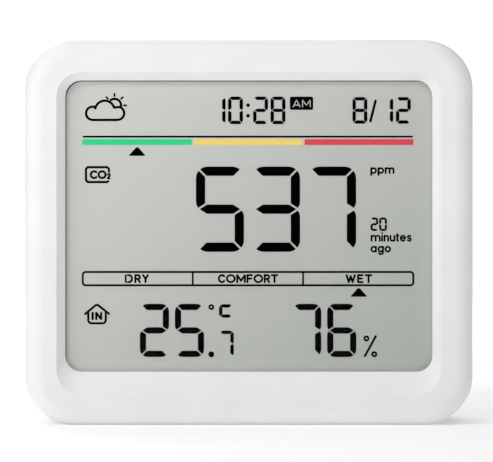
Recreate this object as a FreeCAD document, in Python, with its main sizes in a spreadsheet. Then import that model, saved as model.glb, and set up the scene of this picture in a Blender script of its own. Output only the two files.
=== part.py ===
import FreeCAD, Part

import math
import os
import re

import Sketcher
from FreeCAD import Placement, Rotation, Vector

# Desk carbon dioxide monitor: a shallow rounded case with a recessed segment display, a flush button on
# its top edge, and a battery bay, folding stand, sensor vents and unit button behind.
# X runs to the right as seen from the front, Y from front to back and Z up. The origin is the middle of
# the case in X and Y, at the plane that it stands on.

doc = FreeCAD.newDocument("carbon_dioxide_monitor")

# The driving dimensions, in millimetres and degrees.
DIMENSIONS = {
    # case
    "case_width": 92.0, "case_height": 79.0, "case_depth": 25.6, "corner_radius": 10.2,
    "front_edge_radius": 4.0, "rear_edge_radius": 2.5, "front_shell_depth": 5.8, "side_wall": 2.0,
    "back_wall": 1.8, "tongue_depth": 1.4, "tongue_thickness": 1.0, "fit_gap": 0.1, "slot_round": 0.45,
    "seam_chamfer": 0.2,
    # display recess, opening and window
    "frame_width": 6.75, "mouth_bottom": 6.3, "mouth_top": 72.1, "mouth_radius": 5.1, "slope_depth": 2.0,
    "lip_depth": 0.4, "opening_width": 75.2, "opening_bottom": 10.9, "opening_top": 70.56,
    "opening_radius": 3.3, "window_overlap": 1.3, "window_thickness": 0.8, "window_radius": 4.6,
    "tape_thickness": 0.1, "tape_setback": 0.3, "tape_show": 0.18,
    # liquid crystal display
    "lcd_overlap": 1.35, "lcd_gap": 0.1, "film_thickness": 0.2, "glass_thickness": 0.7,
    "contact_ledge": 1.9, "zebra_length": 72.0, "zebra_thickness": 1.0, "lcd_frame_width": 78.6,
    "lcd_frame_bottom": 9.0, "lcd_frame_top": 74.8, "lcd_frame_rail": 4.6,
    # main board; heights are measured up from the standing plane
    "board_front": -5.6, "board_thickness": 1.0, "board_width": 85.2, "board_bottom": 42.5,
    "board_top": 74.0, "board_corner": 1.5, "board_post_x": 41.2, "board_post_low": 45.5,
    "board_post_high": 61.8, "board_post_radius": 1.8, "board_screw_radius": 0.8,
    "board_screw_length": 4.5, "board_screw_head_radius": 1.6, "board_screw_head": 1.1,
    "chip_height": 1.2, "controller_size": 10.0, "driver_size": 9.0, "controller_x": 27.0,
    "driver_x": -30.5, "chip_z": 50.0, "crystal_length": 8.0, "crystal_width": 3.2, "crystal_x": 21.0,
    "crystal_z": 60.0, "crystal_corner": 1.3, "inductor_size": 5.0, "inductor_height": 3.0,
    "inductor_x": 31.0, "inductor_z": 63.0, "inductor_corner": 1.0, "capacitor_radius": 2.5,
    "capacitor_height": 6.0, "capacitor_x": 24.0, "capacitor_z": 68.5, "capacitor_pitch": 6.4,
    # USB-C socket in the right side wall
    "usb_z": 53.5, "usb_width": 9.0, "usb_height": 3.2, "usb_depth": 7.4, "usb_setback": 1.2,
    "usb_metal": 0.3, "usb_corner": 1.2, "usb_tongue_width": 6.7, "usb_tongue_height": 0.7,
    "usb_tongue_end": 1.3, "usb_insulator": 1.2, "usb_hole_gap": 0.2,
    # casing screws
    "screw_x": 41.6, "screw_low_z": 14.5, "screw_high_z": 66.5, "screw_radius": 1.1,
    "screw_pilot_radius": 0.95, "screw_clearance_radius": 1.35, "screw_head_radius": 1.9,
    "screw_head": 1.5, "screw_length": 9.4, "screw_seat": 0.0, "pilot_floor": 0.4, "boss_radius": 2.2,
    "boss_notch": 0.45, "tube_radius": 2.9, "counterbore_radius": 2.1, "drive_slot": 0.5,
    "drive_span": 2.2, "drive_depth": 0.8,
    # battery bay
    "well_width": 56.8, "well_bottom": 10.9, "well_top": 40.5, "well_floor": -3.7, "well_wall": 1.2,
    "cell_radius": 7.1, "cell_length": 50.3, "nub_radius": 2.7, "nub_length": 1.4, "shoulder": 1.0,
    "cell_y": 3.75, "lower_cell_z": 18.3, "upper_cell_z": 33.1, "contact_thickness": 0.4,
    "contact_width": 11.0, "contact_corner": 1.6, "bump_radius": 2.2, "bump_height": 0.55,
    "contact_gap": 0.05, "spring_wire": 0.7, "spring_radius": 4.5, "spring_turns": 3.0,
    "spring_taper": 21.0, "lead_radius": 0.6, "lead_bend": 1.8, "lead_offset": 3.6, "lead_turn": 1.0,
    "lead_end": 6.0, "lead_lane": 1.6,
    # battery door
    "door_half_width": 30.4, "door_bottom": 10.2, "door_top": 41.3, "door_thickness": 1.5,
    "door_gap": 0.15, "door_corner": 1.5, "tongue_inner_x": 12.0, "tongue_outer_x": 20.0,
    "tongue_reach": 1.3, "tongue_front": 10.0, "tongue_root": 1.2, "tongue_slot_front": 9.2,
    "latch_half_width": 5.0, "latch_low_z": 39.2, "latch_high_z": 40.1, "latch_front": 8.6,
    "latch_hook": 0.1, "latch_hook_length": 1.0, "grip_count": 5.0, "grip_pitch": 1.8, "grip_width": 0.8,
    "grip_half_length": 7.0, "grip_depth": 0.4, "grip_top": 38.5,
    # folding stand
    "stand_half_width": 36.6, "stand_arm": 5.0, "stand_bottom": 3.6, "stand_bar": 4.2,
    "stand_thickness": 3.0, "hinge_z": 40.8, "stand_gap": 0.35, "stand_floor_gap": 0.2,
    "stand_corner": 2.2, "bar_corner": 2.0, "stand_backing": 1.2, "backing_half_width": 40.2,
    "backing_top": 44.5, "pin_radius": 0.8, "pin_bore_radius": 0.86, "pin_inner_x": 33.6,
    "pin_outer_x": 39.4, "pin_bore_inner_x": 33.3, "foot_half_length": 24.0, "foot_height": 1.0,
    "foot_proud": 0.3, "foot_depth": 1.6, "foot_corner": 0.5, "foot_gap": 0.3, "notch_half_width": 9.0,
    "notch_depth": 2.4,
    # top button and its switch
    "top_button_width": 11.8, "top_button_depth": 5.0, "top_button_y": -3.0, "top_button_corner": 2.2,
    "button_gap": 0.15, "flange_rim": 1.0, "flange_thickness": 0.9, "flange_gap": 0.1, "stem_width": 3.0,
    "stem_depth": 2.0, "top_switch_width": 6.0, "top_switch_depth": 3.2, "top_switch_bottom": 70.0,
    "top_switch_top": 73.3, "plunger_width": 2.6, "plunger_depth": 1.3, "plunger_top": 74.9,
    "plunger_sunk": 0.5, "plunger_room": 0.6,
    # unit button and its switch
    "unit_x": -24.0, "unit_z": 66.0, "unit_radius": 3.3, "unit_face_depth": 0.3,
    "unit_flange_radius": 4.4, "unit_flange_front": 9.9, "unit_stem_radius": 1.4, "unit_switch_size": 6.0,
    "unit_switch_back": -1.9, "unit_plunger_radius": 1.6, "unit_plunger_back": -1.3,
    # carbon dioxide sensor and its vent
    "co2_z": 56.0, "co2_board_width": 34.0, "co2_board_height": 19.0, "co2_board_front": -3.2,
    "co2_board_thickness": 1.0, "co2_cell_width": 32.0, "co2_cell_height": 17.0, "co2_cell_depth": 6.2,
    "co2_cell_edge": 1.2, "co2_cell_corner": 1.8, "filter_width": 18.0, "filter_height": 10.0,
    "filter_thickness": 0.4, "filter_corner": 2.0, "header_width": 10.2, "header_height": 2.5,
    "header_offset": 8.0, "gasket_width": 30.0, "gasket_height": 15.6, "gasket_rim": 2.2,
    "duct_corner": 0.9, "mesh_thickness": 0.3, "mesh_gap": 0.1, "vent_count": 7.0, "vent_pitch": 3.4,
    "vent_width": 1.4, "vent_height": 9.6,
    # air temperature and humidity sensor and its vent
    "air_z": 54.0, "air_y": 4.0, "air_board_height": 10.0, "air_board_depth": 6.0,
    "air_board_outer": -43.4, "air_board_thickness": 0.8, "air_chip_size": 2.5, "air_chip_height": 0.5,
    "rib_thickness": 1.0, "rib_reach": 2.2, "rib_depth": 8.0, "flex_width": 4.0, "flex_thickness": 0.2,
    "flex_end_x": -38.5, "air_slot_count": 4.0, "air_slot_pitch": 2.6, "air_slot_length": 7.0,
    "air_slot_height": 1.2,
    # wall-hanging keyhole
    "keyhole_z": 68.0, "keyhole_radius": 3.3, "keyhole_slot": 3.2, "keyhole_top": 72.6,
    "cup_half_width": 4.6, "cup_bottom": 64.0, "cup_top": 75.2, "cup_depth": 3.6, "cup_wall": 0.8,
}

sheet = doc.addObject("Spreadsheet::Sheet", "dims")
for row, (alias, number) in enumerate(DIMENSIONS.items(), start=1):
    sheet.set(f"A{row}", alias)
    sheet.set(f"B{row}", str(number))
    sheet.setAlias(f"B{row}", alias)
doc.recompute()

# Planes that several sub-parts share, as expressions of the sheet's cells.
FRONT = "(-case_depth / 2)"
BACK = "(case_depth / 2)"
SPLIT = f"({FRONT} + front_shell_depth)"
CAVITY_BACK = f"({BACK} - back_wall)"
LIP_FRONT = f"({FRONT} + slope_depth)"
LIP_BACK = f"({LIP_FRONT} + lip_depth)"
WINDOW_FRONT = f"({LIP_BACK} + tape_thickness)"
WINDOW_BACK = f"({WINDOW_FRONT} + window_thickness)"
FILM_FRONT = f"({WINDOW_BACK} + lcd_gap)"
GLASS_FRONT = f"({FILM_FRONT} + film_thickness)"
GLASS_MIDDLE = f"({GLASS_FRONT} + glass_thickness)"
GLASS_BACK = f"({GLASS_MIDDLE} + glass_thickness)"
REFLECTOR_BACK = f"({GLASS_BACK} + film_thickness)"
BOARD_FRONT = "board_front"
BOARD_BACK = "(board_front + board_thickness)"
DOOR_FRONT = f"({BACK} - door_thickness)"
STAND_FRONT = f"({BACK} - stand_thickness)"
HINGE_Y = f"({BACK} - stand_thickness / 2)"
GROOVE_FRONT = f"({STAND_FRONT} - stand_floor_gap)"
BACKING_FRONT = f"({GROOVE_FRONT} - stand_backing)"
CO2_CELL_FRONT = "(co2_board_front + co2_board_thickness)"
CO2_CELL_BACK = f"({CO2_CELL_FRONT} + co2_cell_depth)"
BUTTON_BOTTOM = "(case_height - side_wall - flange_gap - flange_thickness)"
AIR_BOARD_INNER = "(air_board_outer + air_board_thickness)"

PLANES = {"x": "YZ_Plane", "y": "XZ_Plane", "z": "XY_Plane"}
LEVEL_TOLERANCE = 0.001


def cells(expression):
    """The same expression with each alias pointed at the spreadsheet."""
    return re.sub(r"[a-z_][a-z_0-9]*", lambda word: "dims." + word.group(0), str(expression))


def value(expression):
    """What an expression comes to now."""
    return float(sheet.evalExpression(str(expression)))


def bind(item, prop, expression):
    """Ties a property to the spreadsheet."""
    item.setExpression(prop, cells(expression))


def new_body(label):
    body = doc.addObject("PartDesign::Body", label)
    body.Label = label
    return body


def new_sketch(body, axis, level):
    """A sketch on the body's own origin plane square to axis, moved along that axis to level."""
    plane = next(item for item in body.Origin.OriginFeatures if item.Role == PLANES[axis])
    sketch = body.newObject("Sketcher::SketchObject", body.Label + "_sketch")
    sketch.AttachmentSupport = [(plane, "")]
    sketch.MapMode = "FlatFace"
    # The XZ plane's normal points to the front.
    bind(sketch, "AttachmentOffset.Base.z", f"-({level})" if axis == "y" else level)
    return sketch


def constrain(sketch, expression, kind, *where):
    """A dimension of the sketch, tied to the spreadsheet."""
    index = sketch.addConstraint(Sketcher.Constraint(kind, *where, value(expression)))
    bind(sketch, f"Constraints[{index}]", expression)


def place_point(sketch, line, end, u, v):
    """Holds one end of a line, or an arc's or circle's centre, at (u, v) from the sketch's origin."""
    constrain(sketch, u, "DistanceX", -1, 1, line, end)
    constrain(sketch, v, "DistanceY", -1, 1, line, end)


def rectangle(u0, u1, v0, v1):
    """Draws a rectangle between two levels of the sketch's first axis and two of its second."""
    def draw(sketch):
        corners = [(u0, v0), (u1, v0), (u1, v1), (u0, v1)]
        points = [Vector(value(u), value(v), 0) for u, v in corners]
        first = len(sketch.Geometry)
        for index in range(4):
            sketch.addGeometry(Part.LineSegment(points[index], points[(index + 1) % 4]), False)
        for index in range(4):
            follower = first + (index + 1) % 4
            sketch.addConstraint(Sketcher.Constraint("Coincident", first + index, 2, follower, 1))
            kind = "Vertical" if index % 2 else "Horizontal"
            sketch.addConstraint(Sketcher.Constraint(kind, first + index))
        place_point(sketch, first, 1, u0, v0)
        place_point(sketch, first + 2, 1, u1, v1)
    return draw


def rounded(u0, u1, v0, v1, radius):
    """Draws a rectangle with four equal round corners."""
    def draw(sketch):
        left, right, low, high = value(u0), value(u1), value(v0), value(v1)
        bend = value(radius)
        centres = [(right - bend, low + bend), (right - bend, high - bend),
                   (left + bend, high - bend), (left + bend, low + bend)]
        starts = [Vector(left + bend, low, 0), Vector(right, low + bend, 0),
                  Vector(right - bend, high, 0), Vector(left, high - bend, 0)]
        ends = [Vector(right - bend, low, 0), Vector(right, high - bend, 0),
                Vector(left + bend, high, 0), Vector(left, low + bend, 0)]
        first = len(sketch.Geometry)
        for index in range(4):
            start_angle = (index - 1) * math.pi / 2
            circle = Part.Circle(Vector(*centres[index], 0), Vector(0, 0, 1), bend)
            sketch.addGeometry(Part.LineSegment(starts[index], ends[index]), False)
            sketch.addGeometry(Part.ArcOfCircle(circle, start_angle, start_angle + math.pi / 2), False)
        for index in range(4):
            line = first + 2 * index
            arc = line + 1
            following = first + (2 * index + 2) % 8
            sketch.addConstraint(Sketcher.Constraint("Tangent", line, 2, arc, 1))
            sketch.addConstraint(Sketcher.Constraint("Tangent", arc, 2, following, 1))
            kind = "Vertical" if index % 2 else "Horizontal"
            sketch.addConstraint(Sketcher.Constraint(kind, line))
            if index:
                sketch.addConstraint(Sketcher.Constraint("Equal", first + 1, arc))
        constrain(sketch, radius, "Radius", first + 1)
        constrain(sketch, v0, "DistanceY", -1, 1, first, 1)
        constrain(sketch, u1, "DistanceX", -1, 1, first + 2, 1)
        constrain(sketch, v1, "DistanceY", -1, 1, first + 4, 1)
        constrain(sketch, u0, "DistanceX", -1, 1, first + 6, 1)
    return draw


def circle(u, v, radius):
    """Draws a circle."""
    def draw(sketch):
        centre = Vector(value(u), value(v), 0)
        index = sketch.addGeometry(Part.Circle(centre, Vector(0, 0, 1), value(radius)), False)
        constrain(sketch, radius, "Radius", index)
        place_point(sketch, index, 3, u, v)
    return draw


def extrude(kind, body, axis, low, high, shapes, backwards):
    """One sketch of one or more closed shapes, carried from level low to level high along axis."""
    sketch = new_sketch(body, axis, low)
    for shape in shapes:
        shape(sketch)
    feature = body.newObject("PartDesign::" + kind, body.Label + "_" + kind.lower())
    feature.Profile = sketch
    feature.Reversed = backwards
    bind(feature, "Length", f"({high}) - ({low})")
    body.Tip = feature
    return feature


def pad(body, axis, low, high, *shapes):
    """Adds material between two levels."""
    return extrude("Pad", body, axis, low, high, shapes, axis == "y")


def pocket(body, axis, low, high, *shapes):
    """Takes material away between two levels."""
    return extrude("Pocket", body, axis, low, high, shapes, axis != "y")


def dress_edges(kind, prop, body, size, wanted):
    """A fillet or chamfer on every edge of the body so far that wanted(edge) picks out."""
    doc.recompute()
    base = body.Tip
    names = [f"Edge{n}" for n, edge in enumerate(base.Shape.Edges, start=1) if wanted(edge)]
    feature = body.newObject("PartDesign::" + kind, body.Label + "_" + kind.lower())
    feature.Base = (base, names)
    bind(feature, prop, size)
    body.Tip = feature


def round_edges(body, radius, wanted):
    """Fillets the wanted edges."""
    dress_edges("Fillet", "Radius", body, radius, wanted)


def chamfer_edges(body, size, wanted):
    """Chamfers the wanted edges."""
    dress_edges("Chamfer", "Size", body, size, wanted)


def lies_at(edge, axis, level):
    """True for an edge that lies in the plane square to axis at level."""
    low = getattr(edge.BoundBox, axis.upper() + "Min")
    high = getattr(edge.BoundBox, axis.upper() + "Max")
    return max(abs(low - value(level)), abs(high - value(level))) < LEVEL_TOLERANCE


def repeat(body, feature, direction, count, pitch):
    """Repeats a feature along its sketch's own axis, half of the copies on each side of the first."""
    doc.recompute()
    pattern = body.newObject("PartDesign::LinearPattern", body.Label + "_pattern")
    pattern.Originals = [feature]
    pattern.Direction = (feature.Profile[0], [direction])
    bind(pattern, "Length", f"({count} - 1) * {pitch}")
    pattern.Occurrences = int(value(count))
    body.Tip = pattern
    return pattern


def centred(centre, size):
    """The two levels that a size takes up about its centre."""
    return f"({centre}) - ({size}) / 2", f"({centre}) + ({size}) / 2"


def grown(inset):
    """The case's outline, drawn in by inset on every side."""
    return rounded(f"{inset} - case_width / 2", f"case_width / 2 - {inset}", inset,
                   f"case_height - {inset}", f"corner_radius - {inset}")


def four_screws(radius):
    """Circles at the four casing screws."""
    return [circle(f"{side} * screw_x", height, radius)
            for side in (-1, 1) for height in ("screw_low_z", "screw_high_z")]


def four_board_screws(radius):
    """Circles at the four board screws."""
    return [circle(f"{side} * board_post_x", height, radius)
            for side in (-1, 1) for height in ("board_post_low", "board_post_high")]


def display_outline(margin, radius, top="opening_top"):
    """The display opening's outline, grown by margin."""
    return rounded(f"-opening_width / 2 - {margin}", f"opening_width / 2 + {margin}",
                   f"opening_bottom - {margin}", f"{top} + {margin}", radius)


# ---------------------------------------------------------------- case

def make_front_shell():
    """The front of the case: a tray with a sloping recess down to the display opening."""
    body = new_body("front_shell")
    pad(body, "y", FRONT, SPLIT, grown("0"))
    round_edges(body, "front_edge_radius", lambda edge: lies_at(edge, "y", FRONT))
    chamfer_edges(body, "seam_chamfer", lambda edge: lies_at(edge, "y", SPLIT))
    recess = body.newObject("PartDesign::SubtractiveLoft", "front_shell_recess")
    mouth = new_sketch(body, "y", FRONT)
    rounded("frame_width - case_width / 2", "case_width / 2 - frame_width", "mouth_bottom",
            "mouth_top", "mouth_radius")(mouth)
    rim = new_sketch(body, "y", LIP_FRONT)
    display_outline("0", "opening_radius")(rim)
    recess.Profile = mouth
    recess.Sections = [rim]
    recess.Ruled = True
    body.Tip = recess
    pocket(body, "y", LIP_FRONT, SPLIT, display_outline("0", "opening_radius"))
    pocket(body, "y", LIP_BACK, SPLIT, grown("side_wall"))
    pad(body, "y", LIP_BACK, SPLIT, *four_screws("boss_radius"))
    pad(body, "y", LIP_BACK, BOARD_FRONT, *four_board_screws("board_post_radius"))
    pocket(body, "y", f"{LIP_BACK} + pilot_floor", SPLIT, *four_screws("screw_pilot_radius"))
    pocket(body, "y", f"{BOARD_BACK} - board_screw_length", BOARD_FRONT,
           *four_board_screws("board_screw_radius"))
    return body


def add_rear_shell_solids(body):
    """The rear shell's walls, tubes, battery well and backing."""
    pad(body, "y", SPLIT, BACK, grown("0"))
    round_edges(body, "rear_edge_radius", lambda edge: lies_at(edge, "y", BACK))
    chamfer_edges(body, "seam_chamfer", lambda edge: lies_at(edge, "y", SPLIT))
    pocket(body, "y", SPLIT, CAVITY_BACK, grown("side_wall"))
    pad(body, "y", f"{SPLIT} - tongue_depth", f"{SPLIT} + tongue_depth",
        grown("(side_wall + fit_gap)"), grown("(side_wall + fit_gap + tongue_thickness)"))
    # A ring that joins the tongue to the wall beside it.
    pad(body, "y", SPLIT, f"{SPLIT} + tongue_depth",
        grown("(side_wall / 2)"), grown("(side_wall + 2 * fit_gap)"))
    pad(body, "y", BACKING_FRONT, CAVITY_BACK,
        rectangle("-backing_half_width", "backing_half_width", "side_wall / 2", "backing_top"))
    pad(body, "y", BOARD_FRONT, CAVITY_BACK,
        rectangle("-well_width / 2 - well_wall", "well_width / 2 + well_wall",
                  "well_bottom - well_wall", "well_top + well_wall"))
    # The tubes are slim where they pass the display frame and the board.
    pad(body, "y", SPLIT, BOARD_BACK, *four_screws("boss_radius"))
    pad(body, "y", f"({BOARD_BACK} + fit_gap)", CAVITY_BACK, *four_screws("tube_radius"))
    pad(body, "y", f"{CAVITY_BACK} - cup_depth - cup_wall", CAVITY_BACK,
        rectangle("-cup_half_width", "cup_half_width", "cup_bottom", "cup_top"))
    ribs = [rectangle("side_wall / 2 - case_width / 2", "side_wall - case_width / 2 + rib_reach",
                      f"air_z {sign} (air_board_height / 2 + fit_gap)",
                      f"air_z {sign} (air_board_height / 2 + fit_gap + rib_thickness)")
            for sign in "+-"]
    pad(body, "y", "air_y - rib_depth / 2", "air_y + rib_depth / 2", *ribs)
    # Gaps in the tongue for the front shell's bosses and posts.
    tongue_front = f"{SPLIT} - tongue_depth"
    pocket(body, "y", tongue_front, SPLIT, *four_screws("boss_radius + boss_notch"))
    pocket(body, "y", tongue_front, BOARD_FRONT, *four_board_screws("board_post_radius + fit_gap"))


def cut_battery_bay(body):
    """The battery well, the door's seat, its tongue slots and its latch window."""
    pocket(body, "y", "well_floor", BACK,
           rectangle("-well_width / 2", "well_width / 2", "well_bottom", "well_top"))
    pocket(body, "y", f"{DOOR_FRONT} - fit_gap", BACK,
           rounded("-door_half_width - door_gap", "door_half_width + door_gap",
                   "door_bottom - door_gap", "door_top + door_gap", "door_corner + door_gap"))
    slots = [rectangle(f"{side} * (tongue_inner_x - door_gap)", f"{side} * (tongue_outer_x + door_gap)",
                       "door_bottom - tongue_reach - door_gap", "well_bottom + fit_gap")
             for side in (-1, 1)]
    pocket(body, "y", "tongue_slot_front", DOOR_FRONT, *slots)
    pocket(body, "y", "latch_front", "latch_front + latch_hook_length + 2 * door_gap",
           rectangle("-latch_half_width - door_gap", "latch_half_width + door_gap",
                     "well_top - fit_gap", "well_top + well_wall + fit_gap"))


def cut_stand_groove(body):
    """The groove that the folded stand lies in, its hinge holes and the nail notch under its bar."""
    pocket(body, "y", GROOVE_FRONT, BACK,
           rounded("-stand_half_width - stand_gap", "stand_half_width + stand_gap",
                   "stand_bottom - foot_proud - foot_gap", "stand_bottom + stand_bar + stand_gap",
                   "stand_corner + stand_gap"))
    arms = [rectangle(f"{side} * (stand_half_width - stand_arm - stand_gap)",
                      f"{side} * (stand_half_width + stand_gap)",
                      "stand_bottom + stand_bar / 2", "hinge_z + stand_thickness / 2 + stand_gap")
            for side in (-1, 1)]
    pocket(body, "y", GROOVE_FRONT, BACK, *arms)
    pocket(body, "y", f"{BACK} - notch_depth", BACK,
           rectangle("-notch_half_width", "notch_half_width", "-fit_gap",
                     "stand_bottom - foot_proud"))
    for low, high in (("-pin_outer_x", "-stand_half_width"), ("stand_half_width", "pin_outer_x")):
        pocket(body, "x", low, high, circle(HINGE_Y, "hinge_z", "pin_radius"))


def cut_vents_and_holes(body):
    """The vents, the keyhole, and the holes for buttons, socket and screws."""
    vent = pocket(body, "y", CAVITY_BACK, BACK,
                  rounded("-vent_width / 2 - (vent_count - 1) * vent_pitch / 2",
                          "vent_width / 2 - (vent_count - 1) * vent_pitch / 2",
                          *centred("co2_z", "vent_height"), "vent_width * slot_round"))
    repeat(body, vent, "H_Axis", "vent_count", "vent_pitch")
    cup_back = f"{CAVITY_BACK} - cup_depth"
    pocket(body, "y", cup_back, CAVITY_BACK,
           rectangle("cup_wall - cup_half_width", "cup_half_width - cup_wall", "cup_bottom + cup_wall",
                     "cup_top - cup_wall"))
    pocket(body, "y", cup_back, BACK, circle("0", "keyhole_z", "keyhole_radius"))
    pocket(body, "y", CAVITY_BACK, BACK,
           rounded("-keyhole_slot / 2", "keyhole_slot / 2", "keyhole_z", "keyhole_top",
                   "keyhole_slot * slot_round"))
    pocket(body, "y", CAVITY_BACK, BACK, circle("unit_x", "unit_z", "unit_radius + button_gap"))
    pocket(body, "z", "case_height - side_wall", "case_height",
           rounded(*centred("0", "top_button_width + 2 * button_gap"),
                   *centred("top_button_y", "top_button_depth + 2 * button_gap"),
                   "top_button_corner + button_gap"))
    pocket(body, "x", "case_width / 2 - side_wall", "case_width / 2",
           rounded(*centred(f"{BOARD_BACK} + usb_height / 2", "usb_height + 2 * usb_hole_gap"),
                   *centred("usb_z", "usb_width + 2 * usb_hole_gap"), "usb_corner + usb_hole_gap"))
    slot_bottom = "air_z - (air_slot_count - 1) * air_slot_pitch / 2 - air_slot_height / 2"
    slot = pocket(body, "x", "-case_width / 2", "side_wall - case_width / 2",
                  rounded(*centred("air_y", "air_slot_length"), slot_bottom,
                          slot_bottom + " + air_slot_height", "air_slot_height * slot_round"))
    repeat(body, slot, "V_Axis", "air_slot_count", "air_slot_pitch")
    pocket(body, "y", SPLIT, "screw_seat + fit_gap", *four_screws("screw_clearance_radius"))
    pocket(body, "y", "screw_seat", BACK, *four_screws("counterbore_radius"))


def make_rear_shell():
    """The back of the case: a deep tray that holds the battery bay, the stand and the vents."""
    body = new_body("rear_shell")
    add_rear_shell_solids(body)
    cut_battery_bay(body)
    cut_stand_groove(body)
    cut_vents_and_holes(body)
    return body


def make_casing_screws():
    """Four thread-forming screws that draw the rear shell to the front shell."""
    body = new_body("casing_screws")
    pad(body, "y", "screw_seat - screw_length", "screw_seat", *four_screws("screw_radius"))
    pad(body, "y", "screw_seat", "screw_seat + screw_head", *four_screws("screw_head_radius"))
    cut_crosses(body, "screw_seat + screw_head", "drive_depth", "drive_span", "drive_slot",
                [(f"{side} * screw_x", height)
                 for side in (-1, 1) for height in ("screw_low_z", "screw_high_z")])
    return body


def cut_crosses(body, face, depth, span, width, places):
    """Cross recesses in screw heads whose faces are at level face."""
    upright = [rectangle(*centred(x, width), *centred(z, span)) for x, z in places]
    level = [rectangle(*centred(x, span), *centred(z, width)) for x, z in places]
    pocket(body, "y", f"{face} - {depth}", face, *upright)
    pocket(body, "y", f"{face} - {depth}", face, *level)


# ---------------------------------------------------------------- display

def plate(label, low, high, *shapes):
    """A body that is one flat plate square to Y."""
    body = new_body(label)
    pad(body, "y", low, high, *shapes)
    return body


def make_display():
    """The window, its tape, the glass and films of the display, its frame and its connector.

    The tape shows as a thin dark line along the opening's left and top edges, where it sits off centre.
    """
    lcd_sides = ("-opening_width / 2 - lcd_overlap", "opening_width / 2 + lcd_overlap")
    lcd_bottom = "opening_bottom - lcd_overlap"
    lcd_top = "opening_top + lcd_overlap"
    frame_sides = centred("0", "lcd_frame_width")
    zebra_middle = f"({lcd_top} + contact_ledge / 2)"
    pieces = [
        plate("window_adhesive", LIP_BACK, WINDOW_FRONT,
              display_outline("window_overlap", "window_radius"),
              rounded("-opening_width / 2 + tape_show", "opening_width / 2 + tape_setback",
                      "opening_bottom - tape_setback", "opening_top - tape_show", "opening_radius")),
        plate("display_window", WINDOW_FRONT, WINDOW_BACK,
              display_outline("window_overlap", "window_radius")),
        plate("lcd_front_polariser", FILM_FRONT, GLASS_FRONT,
              rectangle(*lcd_sides, lcd_bottom, lcd_top)),
        plate("lcd_front_glass", GLASS_FRONT, GLASS_MIDDLE,
              rectangle(*lcd_sides, lcd_bottom, lcd_top + " + contact_ledge")),
        plate("lcd_rear_glass", GLASS_MIDDLE, GLASS_BACK,
              rectangle(*lcd_sides, lcd_bottom, lcd_top)),
        plate("lcd_reflector", GLASS_BACK, REFLECTOR_BACK,
              rectangle(*lcd_sides, lcd_bottom, lcd_top)),
        plate("lcd_zebra_connector", GLASS_MIDDLE, BOARD_FRONT,
              rectangle(*centred("0", "zebra_length"), *centred(zebra_middle, "zebra_thickness"))),
    ]
    frame = plate("lcd_frame", REFLECTOR_BACK, BOARD_FRONT,
                  rectangle(*frame_sides, "lcd_frame_bottom", "lcd_frame_top"))
    pocket(frame, "y", REFLECTOR_BACK, BOARD_FRONT,
           rectangle(*centred("0", "lcd_frame_width - 2 * lcd_frame_rail"),
                     "lcd_frame_bottom + lcd_frame_rail", "lcd_frame_top - lcd_frame_rail"),
           rectangle(*centred("0", "zebra_length + 2 * fit_gap"),
                     *centred(zebra_middle, "zebra_thickness + 2 * fit_gap")))
    return pieces + [frame]


# ---------------------------------------------------------------- electronics

def make_main_board():
    """The circuit board, with holes for its screws and for the two upper casing tubes."""
    body = new_body("main_board")
    pad(body, "y", BOARD_FRONT, BOARD_BACK,
        rounded(*centred("0", "board_width"), "board_bottom", "board_top", "board_corner"))
    pocket(body, "y", BOARD_FRONT, BOARD_BACK,
           *[circle(f"{side} * screw_x", "screw_high_z", "boss_radius + 2 * fit_gap")
             for side in (-1, 1)])
    pocket(body, "y", BOARD_FRONT, BOARD_BACK, *four_board_screws("board_screw_radius + fit_gap"))
    return body


def make_board_screws():
    """Four small screws that hold the board to the front shell's posts."""
    body = new_body("board_screws")
    pad(body, "y", f"{BOARD_BACK} - board_screw_length + fit_gap", BOARD_BACK,
        *four_board_screws("board_screw_radius"))
    pad(body, "y", BOARD_BACK, f"{BOARD_BACK} + board_screw_head",
        *four_board_screws("board_screw_head_radius"))
    cut_crosses(body, f"{BOARD_BACK} + board_screw_head", "drive_depth / 2", "drive_span * 0.8",
                "drive_slot * 0.8", [(f"{side} * board_post_x", height) for side in (-1, 1)
                                     for height in ("board_post_low", "board_post_high")])
    return body


def make_board_components():
    """The larger components on the board's back face."""
    capacitors = [circle(f"capacitor_x + {index} * capacitor_pitch", "capacitor_z", "capacitor_radius")
                  for index in range(2)]
    return [
        plate("microcontroller", BOARD_BACK, f"{BOARD_BACK} + chip_height",
              rectangle(*centred("controller_x", "controller_size"),
                        *centred("chip_z", "controller_size"))),
        plate("lcd_driver", BOARD_BACK, f"{BOARD_BACK} + chip_height",
              rectangle(*centred("driver_x", "driver_size"), *centred("chip_z", "driver_size"))),
        plate("crystal", BOARD_BACK, f"{BOARD_BACK} + chip_height",
              rounded(*centred("crystal_x", "crystal_width"), *centred("crystal_z", "crystal_length"),
                      "crystal_corner")),
        plate("boost_inductor", BOARD_BACK, f"{BOARD_BACK} + inductor_height",
              rounded(*centred("inductor_x", "inductor_size"), *centred("inductor_z", "inductor_size"),
                      "inductor_corner")),
        plate("storage_capacitors", BOARD_BACK, f"{BOARD_BACK} + capacitor_height", *capacitors),
    ]


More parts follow.
